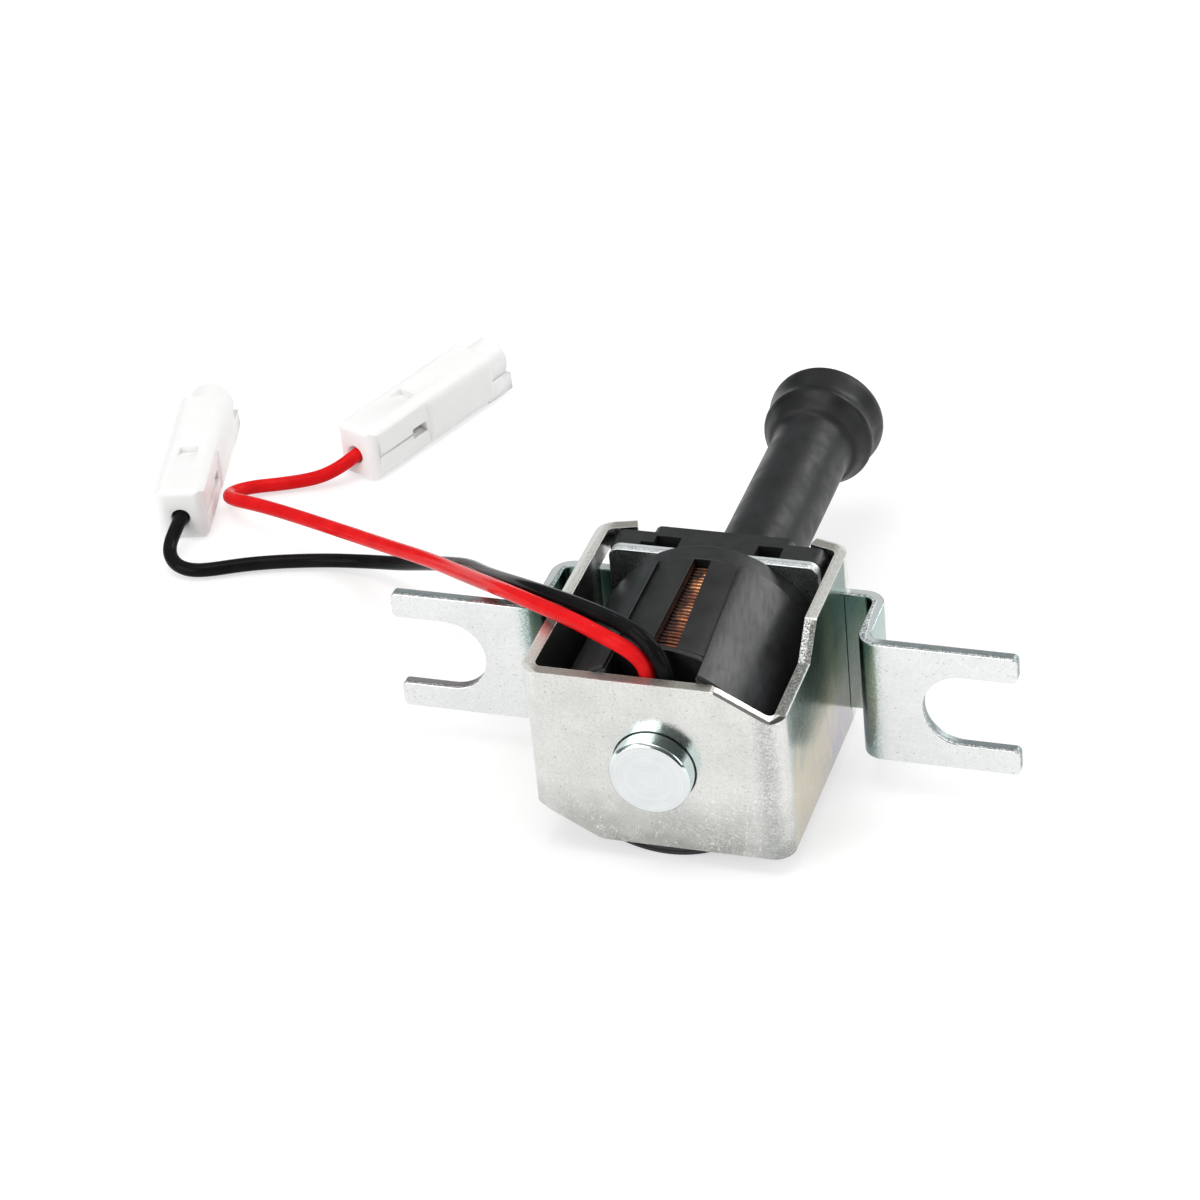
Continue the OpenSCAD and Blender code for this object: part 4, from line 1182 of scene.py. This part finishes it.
# Stage: lengths are in m, but in mm in the floor's material
FLOOR_R = 6.0
FLOOR_Z = -0.0002
FLOOR_SIDES = 64
FLOOR_SEEN = (0.50, 0.50, 0.50, 1)
FLOOR_PLAIN = (0.86, 0.86, 0.86, 1)
# The floor's glow: distances from the middle in mm, and the strengths there
GLOW_AWAY = (80.0, 300.0)
GLOW = (0.58, 0.92)


def white_floor():
    """White floor: it glows for the camera and for reflections, and keeps the object's shadow."""
    p = Paint("white_floor")
    diffuse = p.node("ShaderNodeBsdfDiffuse")
    diffuse.inputs["Color"].default_value = FLOOR_SEEN
    plain = p.node("ShaderNodeBsdfDiffuse")
    plain.inputs["Color"].default_value = FLOOR_PLAIN
    glow = p.node("ShaderNodeEmission")
    p.put(glow.inputs["Strength"], p.span(p.length(p.x, p.y), *GLOW_AWAY, *GLOW))
    both = p.node("ShaderNodeAddShader")
    p.link(diffuse.outputs[0], both.inputs[0])
    p.link(glow.outputs[0], both.inputs[1])
    path = p.node("ShaderNodeLightPath")
    mirrored = p.larger(path.outputs["Is Glossy Ray"], path.outputs["Is Transmission Ray"])
    choose = p.node("ShaderNodeMixShader")
    p.link(p.larger(path.outputs["Is Camera Ray"], mirrored), choose.inputs[0])
    p.link(plain.outputs[0], choose.inputs[1])
    p.link(both.outputs[0], choose.inputs[2])
    p.link(choose.outputs[0], p.tree.nodes["Material Output"].inputs["Surface"])
    p.tree.nodes.remove(p.bsdf)
    return p.mat


def lay_floor():
    """A wide disc just under the part."""
    bm = bmesh.new()
    bmesh.ops.create_circle(bm, cap_ends=True, radius=FLOOR_R, segments=FLOOR_SIDES)
    mesh = to_mesh(bm, "floor")
    mesh.materials.append(white_floor())
    ob = bpy.data.objects.new("floor", mesh)
    scene.collection.objects.link(ob)
    ob.location.z = FLOOR_Z
    return ob


# The room's tones by height, the direction in which it is darkest, and how it darkens
SKY = (
    (0.0, (0.09, 0.14, 0.145)),
    (0.22, (0.13, 0.18, 0.185)),
    (0.45, (0.35, 0.37, 0.365)),
    (0.62, (0.52, 0.52, 0.505)),
    (1.0, (0.66, 0.66, 0.66)))
DARK_SIDE = (0.50, -0.82, 0.27)
DARKENING = (0.50, 0.85, 1.0, 0.22)


def studio_world():
    """A dim room: greenish near the horizon, paler overhead and darkest in front on the right."""
    world = bpy.data.worlds.new("studio")
    scene.world = world
    world.use_nodes = True
    g = Graph(world.node_tree)
    direction = g.node("ShaderNodeTexCoord").outputs["Generated"]
    split = g.node("ShaderNodeSeparateXYZ")
    g.link(direction, split.inputs[0])
    facing = g.node("ShaderNodeVectorMath", operation="DOT_PRODUCT")
    g.link(direction, facing.inputs[0])
    facing.inputs[1].default_value = DARK_SIDE
    shaded = g.node("ShaderNodeVectorMath", operation="SCALE")
    g.link(g.ramp(split.outputs["Z"], SKY), shaded.inputs[0])
    g.link(g.span(facing.outputs["Value"], *DARKENING), shaded.inputs["Scale"])
    g.link(shaded.outputs[0], g.tree.nodes["Background"].inputs["Color"])


# Square lamps that face the object: name, place, size and power in W
AIM = Vector((0, 0, 0.02))
LAMP_TABLE = (
    ("key", (-0.58, -0.88, 0.46), 0.84, 6.8),
    ("back_box", (0.52, 0.86, 0.64), 0.50, 3.6),
    ("overhead", (-0.10, -0.15, 1.25), 0.70, 4.7),
    ("rim", (0.55, 0.78, 0.31), 0.15, 0.4),
    ("glint", (-0.50, 0.68, 0.70), 0.06, 0.18),
    ("fill", (1.00, -0.26, 0.46), 0.60, 2.8))


def lamp(name, at, size, power):
    data = bpy.data.lights.new(name, "AREA")
    data.energy = power
    data.size = size
    ob = bpy.data.objects.new(name, data)
    scene.collection.objects.link(ob)
    ob.location = at
    ob.rotation_euler = (AIM - Vector(at)).to_track_quat("-Z", "Y").to_euler()
    return ob


# Camera fitted to the photograph
EYE = Vector((0.15111, -0.45358, 0.33767))
AZIMUTH = math.radians(21.02)
ELEVATION = math.radians(33.88)
ROLL = math.radians(6.05)
LENS = 115.7
SENSOR = 36.0
NEAREST = 0.01


def set_camera():
    """A camera at EYE, turned, tilted and rolled."""
    level = math.cos(ELEVATION)
    forward = Vector((-math.sin(AZIMUTH) * level, math.cos(AZIMUTH) * level, -math.sin(ELEVATION)))
    right = Vector((math.cos(AZIMUTH), math.sin(AZIMUTH), 0))
    down = forward.cross(right)
    rolled_right = math.cos(ROLL) * right + math.sin(ROLL) * down
    rolled_down = -math.sin(ROLL) * right + math.cos(ROLL) * down
    data = bpy.data.cameras.new("camera")
    data.sensor_width = SENSOR
    data.lens = LENS
    data.clip_start = NEAREST
    camera = bpy.data.objects.new("camera", data)
    scene.collection.objects.link(camera)
    turn = Matrix((rolled_right, -rolled_down, -forward)).transposed()
    camera.matrix_world = Matrix.Translation(EYE) @ turn.to_4x4()
    scene.camera = camera


studio_world()
floor = lay_floor()
LAMPS = [lamp(*values) for values in LAMP_TABLE]
set_camera()
